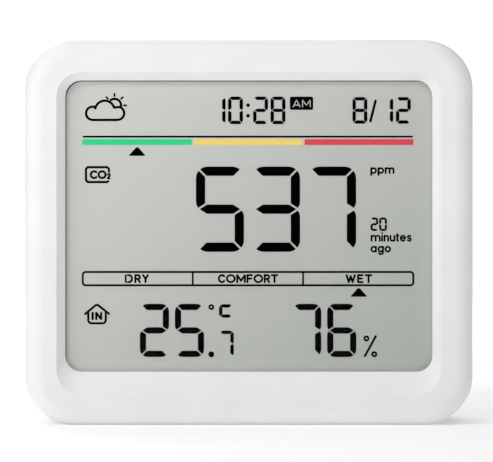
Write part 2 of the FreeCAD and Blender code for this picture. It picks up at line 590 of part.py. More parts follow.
def make_usb_socket():
    """The USB-C socket: a metal shell open to the right, with its tongue on an insulating block."""
    mouth = "(case_width / 2 - usb_setback)"
    rear = f"({mouth} - usb_depth)"
    middle_y = f"{BOARD_BACK} + usb_height / 2"
    shell = new_body("usb_socket_shell")
    pad(shell, "x", rear, mouth,
        rounded(*centred(middle_y, "usb_height"), *centred("usb_z", "usb_width"), "usb_corner"),
        rounded(*centred(middle_y, "usb_height - 2 * usb_metal"),
                *centred("usb_z", "usb_width - 2 * usb_metal"), "usb_corner - usb_metal"))
    tongue = new_body("usb_socket_tongue")
    pad(tongue, "x", rear, f"{rear} + usb_insulator",
        rounded(*centred(middle_y, "usb_height - 2 * usb_metal"),
                *centred("usb_z", "usb_width - 2 * usb_metal"), "usb_corner - usb_metal"))
    pad(tongue, "x", f"{rear} + usb_insulator", f"{mouth} - usb_tongue_end",
        rectangle(*centred(middle_y, "usb_tongue_height"), *centred("usb_z", "usb_tongue_width")))
    return [shell, tongue]


# ---------------------------------------------------------------- sensors

def make_co2_sensor():
    """The gas sensor module, the foam duct that joins it to the rear vents, and the vents' mesh."""
    cell = new_body("co2_sensor_cell")
    pad(cell, "y", CO2_CELL_FRONT, CO2_CELL_BACK,
        rounded(*centred("0", "co2_cell_width"), *centred("co2_z", "co2_cell_height"),
                "co2_cell_corner"))
    round_edges(cell, "co2_cell_edge", lambda edge: lies_at(edge, "y", CO2_CELL_BACK))
    header_rows = [rectangle(*centred("0", "header_width"),
                             *centred(f"co2_z {sign} header_offset", "header_height"))
                   for sign in "+-"]
    duct_width = "(gasket_width - 2 * gasket_rim)"
    duct_height = "(gasket_height - 2 * gasket_rim)"
    return [
        cell,
        plate("co2_sensor_board", "co2_board_front", CO2_CELL_FRONT,
              rectangle(*centred("0", "co2_board_width"), *centred("co2_z", "co2_board_height"))),
        plate("co2_sensor_headers", BOARD_BACK, "co2_board_front", *header_rows),
        plate("co2_sensor_filter", CO2_CELL_BACK, f"{CO2_CELL_BACK} + filter_thickness",
              rounded(*centred("0", "filter_width"), *centred("co2_z", "filter_height"),
                      "filter_corner")),
        plate("sensor_gasket", CO2_CELL_BACK, CAVITY_BACK,
              rounded(*centred("0", "gasket_width"), *centred("co2_z", "gasket_height"), "gasket_rim"),
              rounded(*centred("0", duct_width), *centred("co2_z", duct_height), "duct_corner")),
        plate("vent_dust_mesh", f"{CAVITY_BACK} - mesh_thickness", CAVITY_BACK,
              rounded(*centred("0", duct_width + " - 2 * mesh_gap"),
                      *centred("co2_z", duct_height + " - 2 * mesh_gap"), "duct_corner")),
    ]


def make_air_sensor():
    """The small temperature and humidity board behind the left side's slots, and its flat cable."""
    board = new_body("air_sensor_board")
    pad(board, "x", "air_board_outer", AIR_BOARD_INNER,
        rectangle(*centred("air_y", "air_board_depth"), *centred("air_z", "air_board_height")))
    chip = new_body("air_sensor_chip")
    pad(chip, "x", "air_board_outer - air_chip_height", "air_board_outer",
        rectangle(*centred("air_y", "air_chip_size"), *centred("air_z", "air_chip_size")))
    flex = new_body("air_sensor_flex")
    pad(flex, "x", AIR_BOARD_INNER, f"{AIR_BOARD_INNER} + flex_thickness",
        rectangle(BOARD_BACK, "air_y", *centred("air_z", "flex_width")))
    pad(flex, "y", BOARD_BACK, f"{BOARD_BACK} + flex_thickness",
        rectangle(AIR_BOARD_INNER, "flex_end_x", *centred("air_z", "flex_width")))
    return [board, chip, flex]


# ---------------------------------------------------------------- buttons

def make_top_button():
    """The button in the top edge, with the ears that keep it in and the stem to its switch."""
    button = new_body("top_button")
    pad(button, "z", BUTTON_BOTTOM, "case_height",
        rounded(*centred("0", "top_button_width"), *centred("top_button_y", "top_button_depth"),
                "top_button_corner"))
    pad(button, "z", BUTTON_BOTTOM, f"{BUTTON_BOTTOM} + flange_thickness",
        rounded(*centred("0", "top_button_width + 2 * flange_rim"),
                *centred("top_button_y", "top_button_depth"), "top_button_corner"))
    pad(button, "z", "plunger_top", BUTTON_BOTTOM,
        rectangle(*centred("0", "stem_width"), *centred("top_button_y", "stem_depth")))
    round_edges(button, "button_gap", lambda edge: lies_at(edge, "z", "case_height"))
    return button


def make_top_switch():
    """The side-pressed switch on the board's top edge, and its plunger."""
    case = new_body("top_switch_body")
    pad(case, "z", "top_switch_bottom", "top_switch_top",
        rectangle(*centred("0", "top_switch_width"), BOARD_BACK, f"{BOARD_BACK} + top_switch_depth"))
    pocket(case, "z", "top_switch_top - plunger_sunk - plunger_room", "top_switch_top",
           rectangle(*centred("0", "plunger_width + 2 * fit_gap"),
                     *centred("top_button_y", "plunger_depth + 2 * fit_gap")))
    plunger = new_body("top_switch_plunger")
    pad(plunger, "z", "top_switch_top - plunger_sunk", "plunger_top",
        rectangle(*centred("0", "plunger_width"), *centred("top_button_y", "plunger_depth")))
    return [case, plunger]


def make_unit_button():
    """The round button on the back, with its flange and its long stem."""
    button = new_body("unit_button")
    pad(button, "y", "unit_flange_front", f"{BACK} - unit_face_depth",
        circle("unit_x", "unit_z", "unit_radius"))
    pad(button, "y", "unit_flange_front", "unit_flange_front + flange_thickness",
        circle("unit_x", "unit_z", "unit_flange_radius"))
    pad(button, "y", "unit_plunger_back", "unit_flange_front",
        circle("unit_x", "unit_z", "unit_stem_radius"))
    round_edges(button, "unit_face_depth", lambda edge: lies_at(edge, "y", f"{BACK} - unit_face_depth"))
    return button


def make_unit_switch():
    """The switch on the board behind the unit button, and its plunger."""
    case = plate("unit_switch_body", BOARD_BACK, "unit_switch_back",
                 rectangle(*centred("unit_x", "unit_switch_size"),
                           *centred("unit_z", "unit_switch_size")))
    pocket(case, "y", "unit_switch_back - plunger_sunk - plunger_room", "unit_switch_back",
           circle("unit_x", "unit_z", "unit_plunger_radius + fit_gap"))
    plunger = plate("unit_switch_plunger", "unit_switch_back - plunger_sunk", "unit_plunger_back",
                    circle("unit_x", "unit_z", "unit_plunger_radius"))
    return [case, plunger]


# ---------------------------------------------------------------- battery bay

def make_battery_door():
    """The battery door: tongues on its bottom edge, a latch finger at the top and grip ribs."""
    door = new_body("battery_door")
    pad(door, "y", DOOR_FRONT, BACK,
        rounded("-door_half_width", "door_half_width", "door_bottom", "door_top", "door_corner"))
    roots = [rectangle(f"{side} * tongue_inner_x", f"{side} * tongue_outer_x",
                       "door_bottom + door_corner / 2", "well_bottom + tongue_root")
             for side in (-1, 1)]
    pad(door, "y", "tongue_front", f"{DOOR_FRONT} + fit_gap", *roots)
    tongues = [rectangle(f"{side} * tongue_inner_x", f"{side} * tongue_outer_x",
                         "door_bottom - tongue_reach", "well_bottom + tongue_root")
               for side in (-1, 1)]
    pad(door, "y", "tongue_front", f"{DOOR_FRONT} - 2 * fit_gap", *tongues)
    finger = ("-latch_half_width", "latch_half_width")
    pad(door, "y", "latch_front", f"{DOOR_FRONT} + fit_gap",
        rectangle(*finger, "latch_low_z", "latch_high_z"))
    pad(door, "y", "latch_front", "latch_front + latch_hook_length",
        rectangle(*finger, "latch_low_z", "latch_high_z + latch_hook"))
    groove = pocket(door, "y", f"{BACK} - grip_depth", BACK,
                    rounded("-grip_half_length", "grip_half_length",
                            "grip_top - (grip_count - 1) * grip_pitch - grip_width",
                            "grip_top - (grip_count - 1) * grip_pitch", "grip_width * slot_round"))
    repeat(door, groove, "V_Axis", "grip_count", "grip_pitch")
    return door


def make_cell(label, height, nub_side):
    """One AA cell, with its positive nub towards nub_side along X."""
    body = new_body(label)
    wall = f"({nub_side} * (well_width / 2 - contact_thickness - bump_height - contact_gap))"
    levels = [wall, f"({wall} - {nub_side} * nub_length)", f"({wall} - {nub_side} * cell_length)"]
    for far, near, radius in ((levels[2], levels[1], "cell_radius"),
                              (levels[1], levels[0], "nub_radius")):
        low, high = (far, near) if nub_side > 0 else (near, far)
        pad(body, "x", low, high, circle("cell_y", height, radius))
    round_edges(body, "shoulder", lambda edge: lies_at(edge, "x", levels[1])
                and edge.BoundBox.YLength > value("cell_radius"))
    return body


def make_contact(label, side, heights, bump_height_z):
    """A contact plate on the well's end wall, with a dimple for the cell's positive nub."""
    body = new_body(label)
    outer = f"({side} * well_width / 2)"
    inner = f"({side} * (well_width / 2 - contact_thickness))"
    low, high = (inner, outer) if side > 0 else (outer, inner)
    lowest, highest = heights
    pad(body, "x", low, high,
        rounded(*centred("cell_y", "contact_width"), lowest, highest, "contact_corner"))
    if bump_height_z:
        tip = f"({side} * (well_width / 2 - contact_thickness - bump_height))"
        low, high = (tip, inner) if side > 0 else (inner, tip)
        pad(body, "x", low, high, circle("cell_y", bump_height_z, "bump_radius"))
    return body


def make_spring(label, side, height):
    """A conical spring between a contact plate and the flat end of a cell."""
    body = new_body(label)
    root = f"({side} * (well_width / 2 - contact_thickness - spring_wire / 2 - contact_gap))"
    tip = (f"({side} * (cell_length - well_width / 2 + contact_thickness + bump_height"
           f" + 2 * contact_gap + spring_wire / 2))")
    sketch = new_sketch(body, "y", "cell_y")
    bind(sketch, "AttachmentOffset.Base.y", height)
    circle(root, "spring_radius", "spring_wire / 2")(sketch)
    helix = body.newObject("PartDesign::AdditiveHelix", label + "_helix")
    helix.Profile = sketch
    helix.ReferenceAxis = (sketch, ["H_Axis"])
    helix.Mode = 0
    helix.Reversed = side > 0
    bind(helix, "Height", f"{side} * ({root} - {tip})")
    bind(helix, "Pitch", f"{side} * ({root} - {tip}) / spring_turns")
    bind(helix, "Angle", "-spring_taper")
    body.Tip = helix
    return body


def rounded_path(points, radius):
    """A wire of straight runs through points, with tangent arcs at the corners."""
    edges = []
    start = points[0]
    for before, corner, after in zip(points, points[1:], points[2:]):
        incoming = (corner - before).normalize()
        outgoing = (after - corner).normalize()
        half_turn = math.acos(max(-1.0, min(1.0, incoming.dot(outgoing)))) / 2
        setback = radius * math.tan(half_turn)
        arc_start = corner - incoming * setback
        arc_end = corner + outgoing * setback
        bisector = (outgoing - incoming).normalize()
        middle = corner + bisector * (radius / math.cos(half_turn) - radius)
        edges.append(Part.LineSegment(start, arc_start).toShape())
        edges.append(Part.Arc(arc_start, middle, arc_end).toShape())
        start = arc_end
    edges.append(Part.LineSegment(start, points[-1]).toShape())
    return Part.Wire(edges)


def make_lead(label, tag_height, lane):
    """A battery lead: it leaves the tag outside the well's right wall and ends on the board."""
    wall = value("well_width / 2 + well_wall")
    radius = value("lead_radius")
    back = value(BOARD_BACK) + radius
    outside = wall + value("lead_offset") + lane
    # Clear of the well's top edge, then flat on the board.
    points = [Vector(wall, 0.0, tag_height), Vector(outside, 0.0, tag_height),
              Vector(outside, back, value("board_bottom + lead_turn")),
              Vector(outside, back, value("board_bottom + lead_end"))]
    path = rounded_path(points, value("lead_bend"))
    profile = Part.Wire(Part.makeCircle(radius, points[0], Vector(1, 0, 0)))
    lead = doc.addObject("Part::Feature", label)
    lead.Label = label
    lead.Shape = path.makePipeShell([profile], True, False)
    lead.Placement = Placement()
    expected = math.pi * radius ** 2 * path.Length
    print(f"{label}: length {path.Length:.1f}, volume {lead.Shape.Volume:.2f}, expected {expected:.2f}")
    return lead


def make_battery_contacts():
    """The plates, springs and leads of the two cells, which are joined in series on the left."""
    link_heights = ("lower_cell_z - contact_width / 2", "upper_cell_z + contact_width / 2")
    upper_heights = centred("upper_cell_z", "contact_width")
    lower_heights = centred("lower_cell_z", "contact_width")
    return [
        make_contact("battery_positive_plate", 1, upper_heights, "upper_cell_z"),
        make_contact("battery_negative_plate", 1, lower_heights, None),
        make_contact("battery_link_plate", -1, link_heights, "lower_cell_z"),
        make_spring("battery_negative_spring", 1, "lower_cell_z"),
        make_spring("battery_link_spring", -1, "upper_cell_z"),
        make_lead("battery_lead_positive", value("upper_cell_z"), 0.0),
        make_lead("battery_lead_negative", value("lower_cell_z"), value("lead_lane")),
    ]


# ---------------------------------------------------------------- stand

def make_kickstand():
    """A U-shaped stand that folds flush into the back, with a hinge bore in the end of each arm."""
    stand = new_body("kickstand")
    pad(stand, "y", STAND_FRONT, BACK,
        rounded("-stand_half_width", "stand_half_width", "stand_bottom", "stand_bottom + stand_bar",
                "bar_corner"))
    arms = [rectangle(f"{side} * (stand_half_width - stand_arm)", f"{side} * stand_half_width",
                      "stand_bottom + stand_corner", "hinge_z")
            for side in (-1, 1)]
    pad(stand, "y", STAND_FRONT, BACK, *arms)
    sides = (("-stand_half_width", "stand_arm - stand_half_width"),
             ("stand_half_width - stand_arm", "stand_half_width"))
    for low, high in sides:
        pad(stand, "x", low, high, circle(HINGE_Y, "hinge_z", "stand_thickness / 2"))
    for low, high in (("-stand_half_width", "-pin_bore_inner_x"),
                      ("pin_bore_inner_x", "stand_half_width")):
        pocket(stand, "x", low, high, circle(HINGE_Y, "hinge_z", "pin_bore_radius"))
    pocket(stand, "z", "stand_bottom", "stand_bottom + foot_height - foot_proud",
           rounded("-foot_half_length", "foot_half_length", *centred(HINGE_Y, "foot_depth"),
                   "foot_corner"))
    return stand


def make_stand_hinge():
    """The two steel pins that the stand turns on."""
    pins = new_body("stand_hinge_pins")
    for low, high in (("-pin_outer_x", "-pin_inner_x"), ("pin_inner_x", "pin_outer_x")):
        pad(pins, "x", low, high, circle(HINGE_Y, "hinge_z", "pin_radius"))
    return pins


def make_foot():
    """The soft strip let into the stand's lower edge."""
    foot = new_body("kickstand_foot")
    pad(foot, "z", "stand_bottom - foot_proud", "stand_bottom + foot_height - foot_proud",
        rounded("-foot_half_length", "foot_half_length", *centred(HINGE_Y, "foot_depth"),
                "foot_corner"))
    return foot


# ---------------------------------------------------------------- build, test and write

def build():
    """Every sub-part, in the order in which it would be put together."""
    parts = [make_front_shell(), make_rear_shell(), make_casing_screws()]
    parts += make_display()
    parts += [make_main_board(), make_board_screws()]
    parts += make_board_components() + make_usb_socket()
    parts += make_co2_sensor() + make_air_sensor()
    parts += [make_top_button(), make_unit_button()] + make_top_switch() + make_unit_switch()
    parts += [make_battery_door(), make_cell("aa_cell_upper", "upper_cell_z", 1),
              make_cell("aa_cell_lower", "lower_cell_z", -1)]
    parts += make_battery_contacts()
    parts += [make_kickstand(), make_stand_hinge(), make_foot()]
    return parts


def test(parts):
    """Stops the build if any object failed or any sub-part isn't a sound solid."""
    for item in doc.Objects:
        if "Invalid" in item.State or "Error" in item.State:
            raise RuntimeError(f"{item.Name} failed: {item.State}")
    for part in parts:
        if part.Shape.isNull() or not part.Shape.isValid() or not part.Shape.Solids:
            raise RuntimeError(f"{part.Label} has no sound shape")


sub_parts = build()
doc.recompute()
test(sub_parts)
os.makedirs("parts", exist_ok=True)
for sub_part in sub_parts:
    sub_part.Shape.exportStep(os.path.join("parts", sub_part.Label + ".step"))
print(f"{len(sub_parts)} sub-parts written")
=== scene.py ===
"""The looks of the desk carbon dioxide monitor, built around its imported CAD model."""
import math

import bpy
import bmesh
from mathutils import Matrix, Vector


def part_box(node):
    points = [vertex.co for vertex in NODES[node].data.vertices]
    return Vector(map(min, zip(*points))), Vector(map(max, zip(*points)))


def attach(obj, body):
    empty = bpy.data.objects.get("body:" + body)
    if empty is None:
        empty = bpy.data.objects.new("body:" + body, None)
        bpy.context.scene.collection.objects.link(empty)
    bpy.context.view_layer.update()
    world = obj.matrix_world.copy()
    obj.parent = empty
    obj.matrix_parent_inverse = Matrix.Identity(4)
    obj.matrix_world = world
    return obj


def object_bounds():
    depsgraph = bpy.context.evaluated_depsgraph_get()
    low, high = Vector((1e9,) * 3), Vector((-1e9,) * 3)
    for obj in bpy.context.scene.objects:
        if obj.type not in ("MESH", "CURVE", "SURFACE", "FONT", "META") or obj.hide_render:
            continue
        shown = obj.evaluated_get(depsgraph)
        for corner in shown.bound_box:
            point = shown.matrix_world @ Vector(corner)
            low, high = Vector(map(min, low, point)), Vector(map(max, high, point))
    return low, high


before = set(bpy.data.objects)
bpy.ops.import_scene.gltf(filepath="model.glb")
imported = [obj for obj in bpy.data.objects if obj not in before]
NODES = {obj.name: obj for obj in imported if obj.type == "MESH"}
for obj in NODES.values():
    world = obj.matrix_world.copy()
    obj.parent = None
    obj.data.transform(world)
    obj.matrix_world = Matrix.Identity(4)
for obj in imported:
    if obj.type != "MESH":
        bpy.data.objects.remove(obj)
cad_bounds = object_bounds()

MM = 0.001


# ---------------------------------------------------------------- camera
VIEW_WIDTH_MM = 101.4        # width of the view at the case's widest outline
OUTLINE_DEPTH_MM = 4.0       # that outline lies behind the front face by the front edge's radius
LENS_MM, SENSOR_MM = 165.0, 36.0
AIM_X_MM, AIM_ABOVE_MIDDLE_MM = -0.49, 0.23

low, high = Vector(cad_bounds[0]), Vector(cad_bounds[1])
middle = (low + high) / 2
distance = LENS_MM / SENSOR_MM * VIEW_WIDTH_MM * MM
camera_data = bpy.data.cameras.new("camera")
camera_data.lens = LENS_MM
camera_data.sensor_width = SENSOR_MM
camera = bpy.data.objects.new("camera", camera_data)
bpy.context.scene.collection.objects.link(camera)
camera.location = (middle.x + AIM_X_MM * MM, low.y + OUTLINE_DEPTH_MM * MM - distance,
                   middle.z + AIM_ABOVE_MIDDLE_MM * MM)
camera.rotation_euler = (math.pi / 2, 0, 0)
bpy.context.scene.camera = camera


# ---------------------------------------------------------------- materials
def srgb(red, green, blue):
    """Linear colour of an sRGB colour given in parts of 255."""
    def linear(part):
        """One part of the colour, as a share of full light."""
        share = part / 255
        return share / 12.92 if share <= 0.04045 else ((share + 0.055) / 1.055) ** 2.4
    return (linear(red), linear(green), linear(blue), 1)


def shader(name, colour, roughness, metallic=0.0, **sockets):
    """A material with one Principled node; other sockets are given by name, with _ for each space."""
    material = bpy.data.materials.new(name)
    material.use_nodes = True
    node = material.node_tree.nodes["Principled BSDF"]
    node.inputs["Base Color"].default_value = colour
    node.inputs["Roughness"].default_value = roughness
    node.inputs["Metallic"].default_value = metallic
    for socket, number in sockets.items():
        node.inputs[socket.replace("_", " ")].default_value = number
    return material, material.node_tree, node


def add(tree, kind, **settings):
    """A new node of a material's or the world's tree, with its settings."""
    node = tree.nodes.new(kind)
    for key, setting in settings.items():
        setattr(node, key, setting)
    return node


def noise(tree, size_mm, detail=2.0, stretch=(1, 1, 1)):
    """Noise whose features are about size_mm across, in the object's own coordinates."""
    coordinates = add(tree, "ShaderNodeTexCoord")
    mapping = add(tree, "ShaderNodeMapping")
    mapping.inputs["Scale"].default_value = stretch
    texture = add(tree, "ShaderNodeTexNoise")
    texture.inputs["Scale"].default_value = 1 / (size_mm * MM)
    texture.inputs["Detail"].default_value = detail
    tree.links.new(coordinates.outputs["Object"], mapping.inputs["Vector"])
    tree.links.new(mapping.outputs["Vector"], texture.inputs["Vector"])
    return texture.outputs["Fac"]


# The middle of a noise texture's range, which most of its values fall in.
NOISE_LOW, NOISE_HIGH = 0.35, 0.65


def spread(tree, source, low_value, high_value, start=NOISE_LOW, end=NOISE_HIGH):
    """A number between two values that follows source."""
    node = add(tree, "ShaderNodeMapRange")
    node.inputs["From Min"].default_value = start
    node.inputs["From Max"].default_value = end
    node.inputs["To Min"].default_value = low_value
    node.inputs["To Max"].default_value = high_value
    tree.links.new(source, node.inputs["Value"])
    return node.outputs["Result"]


def tint(tree, source, first, second, start=NOISE_LOW, end=NOISE_HIGH):
    """A colour between two that follows source."""
    ramp = add(tree, "ShaderNodeValToRGB")
    ramp.color_ramp.elements[0].position = start
    ramp.color_ramp.elements[0].color = first
    ramp.color_ramp.elements[1].position = end
    ramp.color_ramp.elements[1].color = second
    tree.links.new(source, ramp.inputs["Fac"])
    return ramp.outputs["Color"]


def bump(tree, node, source, height_mm):
    """Relief that follows source and is height_mm deep."""
    relief = add(tree, "ShaderNodeBump")
    relief.inputs["Distance"].default_value = height_mm * MM
    relief.inputs["Strength"].default_value = 1.0
    tree.links.new(source, relief.inputs["Height"])
    tree.links.new(relief.outputs["Normal"], node.inputs["Normal"])


def scaled(colour, by):
    """The colour with its three parts multiplied."""
    return tuple(part * by for part in colour[:3]) + (1,)


DRIFT_MM = 14.0              # size of the slow changes over a moulded surface
METAL_RELIEF_MM = 0.004
PANE_ROUGHNESS = 0.05


def moulded(name, colour, roughness=0.5, grain_mm=0.35, grain_depth_mm=0.012, vary=0.97):
    """Moulded plastic or rubber: a fine grain, a slow drift in colour and a drift in roughness."""
    material, tree, node = shader(name, colour, roughness)
    grain = noise(tree, grain_mm, 3.0)
    drift = noise(tree, DRIFT_MM, 2.0)
    tree.links.new(tint(tree, drift, scaled(colour, vary), colour), node.inputs["Base Color"])
    tree.links.new(spread(tree, drift, roughness - 0.04, roughness + 0.05), node.inputs["Roughness"])
    bump(tree, node, grain, grain_depth_mm)
    return material


def metal(name, colour, roughness=0.3, stretch=(1, 1, 1), grain_mm=0.3):
    """Plated or drawn metal: fine marks along one direction."""
    material, tree, node = shader(name, colour, roughness, metallic=1.0)
    marks = noise(tree, grain_mm, 4.0, stretch)
    tree.links.new(spread(tree, marks, roughness - 0.1, roughness + 0.12), node.inputs["Roughness"])
    tree.links.new(tint(tree, marks, scaled(colour, 0.9), colour), node.inputs["Base Color"])
    bump(tree, node, marks, METAL_RELIEF_MM)
    return material


def clear(name, tint_colour, ior):
    """A clear pane: what is behind it shows through, and it mirrors more at a slant."""
    material = bpy.data.materials.new(name)
    material.use_nodes = True
    tree = material.node_tree
    tree.nodes.remove(tree.nodes["Principled BSDF"])
    through = add(tree, "ShaderNodeBsdfTransparent")
    through.inputs["Color"].default_value = tint_colour
    mirror = add(tree, "ShaderNodeBsdfGlossy")
    mirror.inputs["Roughness"].default_value = PANE_ROUGHNESS
    fresnel = add(tree, "ShaderNodeFresnel")
    fresnel.inputs["IOR"].default_value = ior
    mix = add(tree, "ShaderNodeMixShader")
    tree.links.new(fresnel.outputs["Fac"], mix.inputs["Fac"])
    tree.links.new(through.outputs["BSDF"], mix.inputs[1])
    tree.links.new(mirror.outputs["BSDF"], mix.inputs[2])
    tree.links.new(mix.outputs["Shader"], tree.nodes["Material Output"].inputs["Surface"])
    return material


def calculate(tree, operation, *values):
    """A maths node; each value is a number or another node's output."""
    node = add(tree, "ShaderNodeMath", operation=operation)
    for socket, value in zip(node.inputs, values):
        if isinstance(value, bpy.types.NodeSocket):
            tree.links.new(value, socket)
        else:
            socket.default_value = value
    return node.outputs["Value"]


# The film's painted light: its colour slants per metre along x and z, lighter to the left and to the top,
# where the light comes from.
FILM_PAINTED_LIGHT_SLANT = (-6.8, 7.3)
FILM_PAINTED_SHADE_LEVEL, FILM_PAINTED_LIGHT_LEVEL = -0.15, 0.81
OPENING_HALF_WIDTH_MM, OPENING_HALF_HEIGHT_MM, OPENING_MIDDLE_MM = 37.6, 29.8, 40.7
# Painted light at the opening's rim: the film glows there, fading inwards over the reach, against the
# shade under the lip.
RIM_PAINTED_LIGHT, RIM_PAINTED_LIGHT_REACH_MM = 0.2, 1.0
FILM_CLOUD_MM, FILM_CLOUD_SHARE = 26.0, 0.05
FILM_GRAIN_MM, FILM_RELIEF_MM = 0.12, 0.002


def film(name, painted_shade_end, painted_light_end, roughness):
    """Satin display film with painted light: it is lighter towards the left and the top, and it glows a
    little towards the opening's rim, against the shade under the lip.
    """
    material, tree, node = shader(name, painted_light_end, roughness, Specular_IOR_Level=0.2)
    coordinates = add(tree, "ShaderNodeTexCoord")
    place = add(tree, "ShaderNodeSeparateXYZ")
    tree.links.new(coordinates.outputs["Object"], place.inputs["Vector"])
    x, z = place.outputs["X"], place.outputs["Z"]
    level = calculate(tree, "MULTIPLY_ADD", x, FILM_PAINTED_LIGHT_SLANT[0],
                      calculate(tree, "MULTIPLY", z, FILM_PAINTED_LIGHT_SLANT[1]))
    cloud = calculate(tree, "MULTIPLY", noise(tree, FILM_CLOUD_MM, 1.0), FILM_CLOUD_SHARE)
    level = calculate(tree, "ADD", level, cloud)
    share = spread(tree, level, 0, 1, FILM_PAINTED_SHADE_LEVEL, FILM_PAINTED_LIGHT_LEVEL)
    colour = tint(tree, share, painted_shade_end, painted_light_end, 0, 1)
    tree.links.new(colour, node.inputs["Base Color"])
    aside = calculate(tree, "ABSOLUTE", x)
    above = calculate(tree, "ABSOLUTE", calculate(tree, "SUBTRACT", z, OPENING_MIDDLE_MM * MM))
    inset = calculate(tree, "MINIMUM", calculate(tree, "SUBTRACT", OPENING_HALF_WIDTH_MM * MM, aside),
                      calculate(tree, "SUBTRACT", OPENING_HALF_HEIGHT_MM * MM, above))
    fall = calculate(tree, "EXPONENT", calculate(tree, "MULTIPLY", inset, -1 / (RIM_PAINTED_LIGHT_REACH_MM * MM)))
    tree.links.new(colour, node.inputs["Emission Color"])
    tree.links.new(calculate(tree, "MULTIPLY", fall, RIM_PAINTED_LIGHT), node.inputs["Emission Strength"])
    grain = noise(tree, FILM_GRAIN_MM, 1.0)
    tree.links.new(spread(tree, grain, roughness - 0.05, roughness + 0.05), node.inputs["Roughness"])
    bump(tree, node, grain, FILM_RELIEF_MM)
    return material


TRACK_PITCH_MM, TRACK_SHARE, TRACK_RELIEF_MM = 9.0, 0.03, 0.02
ONE_BAND_SCALE = 0.314       # a wave texture's scale for one band in each unit of length
WEAVE_RELIEF_MM = 0.06
SLEEVE_DRIFT_MM = 9.0


def laminate(name):
    """Green solder mask with copper tracks showing faintly through it."""
    base = srgb(18, 92, 58)
    material, tree, node = shader(name, base, 0.35)
    coordinates = add(tree, "ShaderNodeTexCoord")
    tracks = add(tree, "ShaderNodeTexBrick")
    tracks.inputs["Scale"].default_value = 1 / (TRACK_PITCH_MM * MM)
    tracks.inputs["Mortar Size"].default_value = TRACK_SHARE
    tracks.inputs["Color1"].default_value = base
    tracks.inputs["Color2"].default_value = scaled(base, 0.92)
    tracks.inputs["Mortar"].default_value = srgb(40, 124, 78)
    tree.links.new(coordinates.outputs["Object"], tracks.inputs["Vector"])
    tree.links.new(tracks.outputs["Color"], node.inputs["Base Color"])
    tree.links.new(spread(tree, noise(tree, 0.6), 0.3, 0.45), node.inputs["Roughness"])
    bump(tree, node, tracks.outputs["Fac"], TRACK_RELIEF_MM)
    return material


def woven(name, colour, pitch_mm, gap):
    """A fine square weave."""
    material, tree, node = shader(name, colour, 0.6)
    coordinates = add(tree, "ShaderNodeTexCoord")
    heights = []
    for direction in ("X", "Z"):
        wave = add(tree, "ShaderNodeTexWave", wave_type="BANDS", bands_direction=direction)
        wave.inputs["Scale"].default_value = ONE_BAND_SCALE / (pitch_mm * MM)
        tree.links.new(coordinates.outputs["Object"], wave.inputs["Vector"])
        heights.append(wave.outputs["Fac"])
    weave = calculate(tree, "MAXIMUM", *heights)
    tree.links.new(tint(tree, weave, scaled(colour, gap), colour), node.inputs["Base Color"])
    tree.links.new(spread(tree, weave, 0.75, 0.5), node.inputs["Roughness"])
    bump(tree, node, weave, WEAVE_RELIEF_MM)
    return material


def banded(name, bands, roughness, low_mm, high_mm, metallic=0.0):
    """Flat colours in bands along X between two levels; bands is [(share of the way, colour), ...]."""
    material, tree, node = shader(name, bands[0][1], roughness, metallic=metallic)
    coordinates = add(tree, "ShaderNodeTexCoord")
    split = add(tree, "ShaderNodeSeparateXYZ")
    along = add(tree, "ShaderNodeMapRange")
    along.inputs["From Min"].default_value = low_mm * MM
    along.inputs["From Max"].default_value = high_mm * MM
    ramp = add(tree, "ShaderNodeValToRGB")
    ramp.color_ramp.interpolation = "CONSTANT"
    ramp.color_ramp.elements[0].color = bands[0][1]
    ramp.color_ramp.elements[1].position = bands[1][0]
    ramp.color_ramp.elements[1].color = bands[1][1]
    for position, colour in bands[2:]:
        ramp.color_ramp.elements.new(position).color = colour
    tree.links.new(coordinates.outputs["Object"], split.inputs["Vector"])
    tree.links.new(split.outputs["X"], along.inputs["Value"])
    tree.links.new(along.outputs["Result"], ramp.inputs["Fac"])
    tree.links.new(ramp.outputs["Color"], node.inputs["Base Color"])
    wear = noise(tree, SLEEVE_DRIFT_MM, 1.0)
    tree.links.new(spread(tree, wear, roughness - 0.03, roughness + 0.05), node.inputs["Roughness"])
    return material


WHITE = srgb(243, 243, 243)
BLACK_INK = srgb(3, 4, 4)
case_white = moulded("case_plastic", WHITE, 0.48)
button_white = moulded("button_plastic", srgb(242, 242, 242), 0.42, 0.25, 0.008)
stand_white = moulded("stand_plastic", srgb(241, 241, 241), 0.5, 0.4, 0.014)
frame_grey = moulded("frame_plastic", srgb(228, 228, 224), 0.55)
# The black adhesive has its own colour. Where its edge shows as a thin dark line at the display opening's
# rim, it stands in for the shade under the lip: painted shade.
tape = moulded("tape_black", srgb(34, 34, 34), 0.85, 0.2, 0.03, 0.85)
zebra = moulded("zebra_silicone", srgb(80, 80, 84), 0.6, 0.15, 0.01, 0.8)
resin = moulded("chip_resin", srgb(38, 38, 40), 0.6, 0.12, 0.01, 0.85)
ferrite = moulded("ferrite", srgb(92, 92, 90), 0.75, 0.2, 0.03, 0.85)
switch_black = moulded("switch_black", srgb(44, 44, 46), 0.45, 0.2, 0.006, 0.9)
membrane = moulded("membrane_white", srgb(240, 240, 236), 0.9, 0.25, 0.03, 0.96)
foam = moulded("foam_black", srgb(52, 52, 54), 0.95, 0.5, 0.16, 0.6)
flex = moulded("flex_amber", srgb(186, 118, 40), 0.25, 0.4, 0.004, 0.85)
silicone = moulded("foot_silicone", srgb(178, 178, 178), 0.75, 0.25, 0.01, 0.94)
red_wire = moulded("lead_red", srgb(190, 36, 32), 0.4, 0.5, 0.01, 0.9)
black_wire = moulded("lead_black", srgb(30, 30, 32), 0.4, 0.5, 0.01, 0.8)
insulator = moulded("socket_insulator", srgb(28, 28, 30), 0.5, 0.15, 0.005, 0.85)
tin = metal("tinned_steel", srgb(214, 214, 210), 0.35, (1, 12, 1))
nickel = metal("nickel", srgb(216, 214, 206), 0.28, (1, 1, 10))
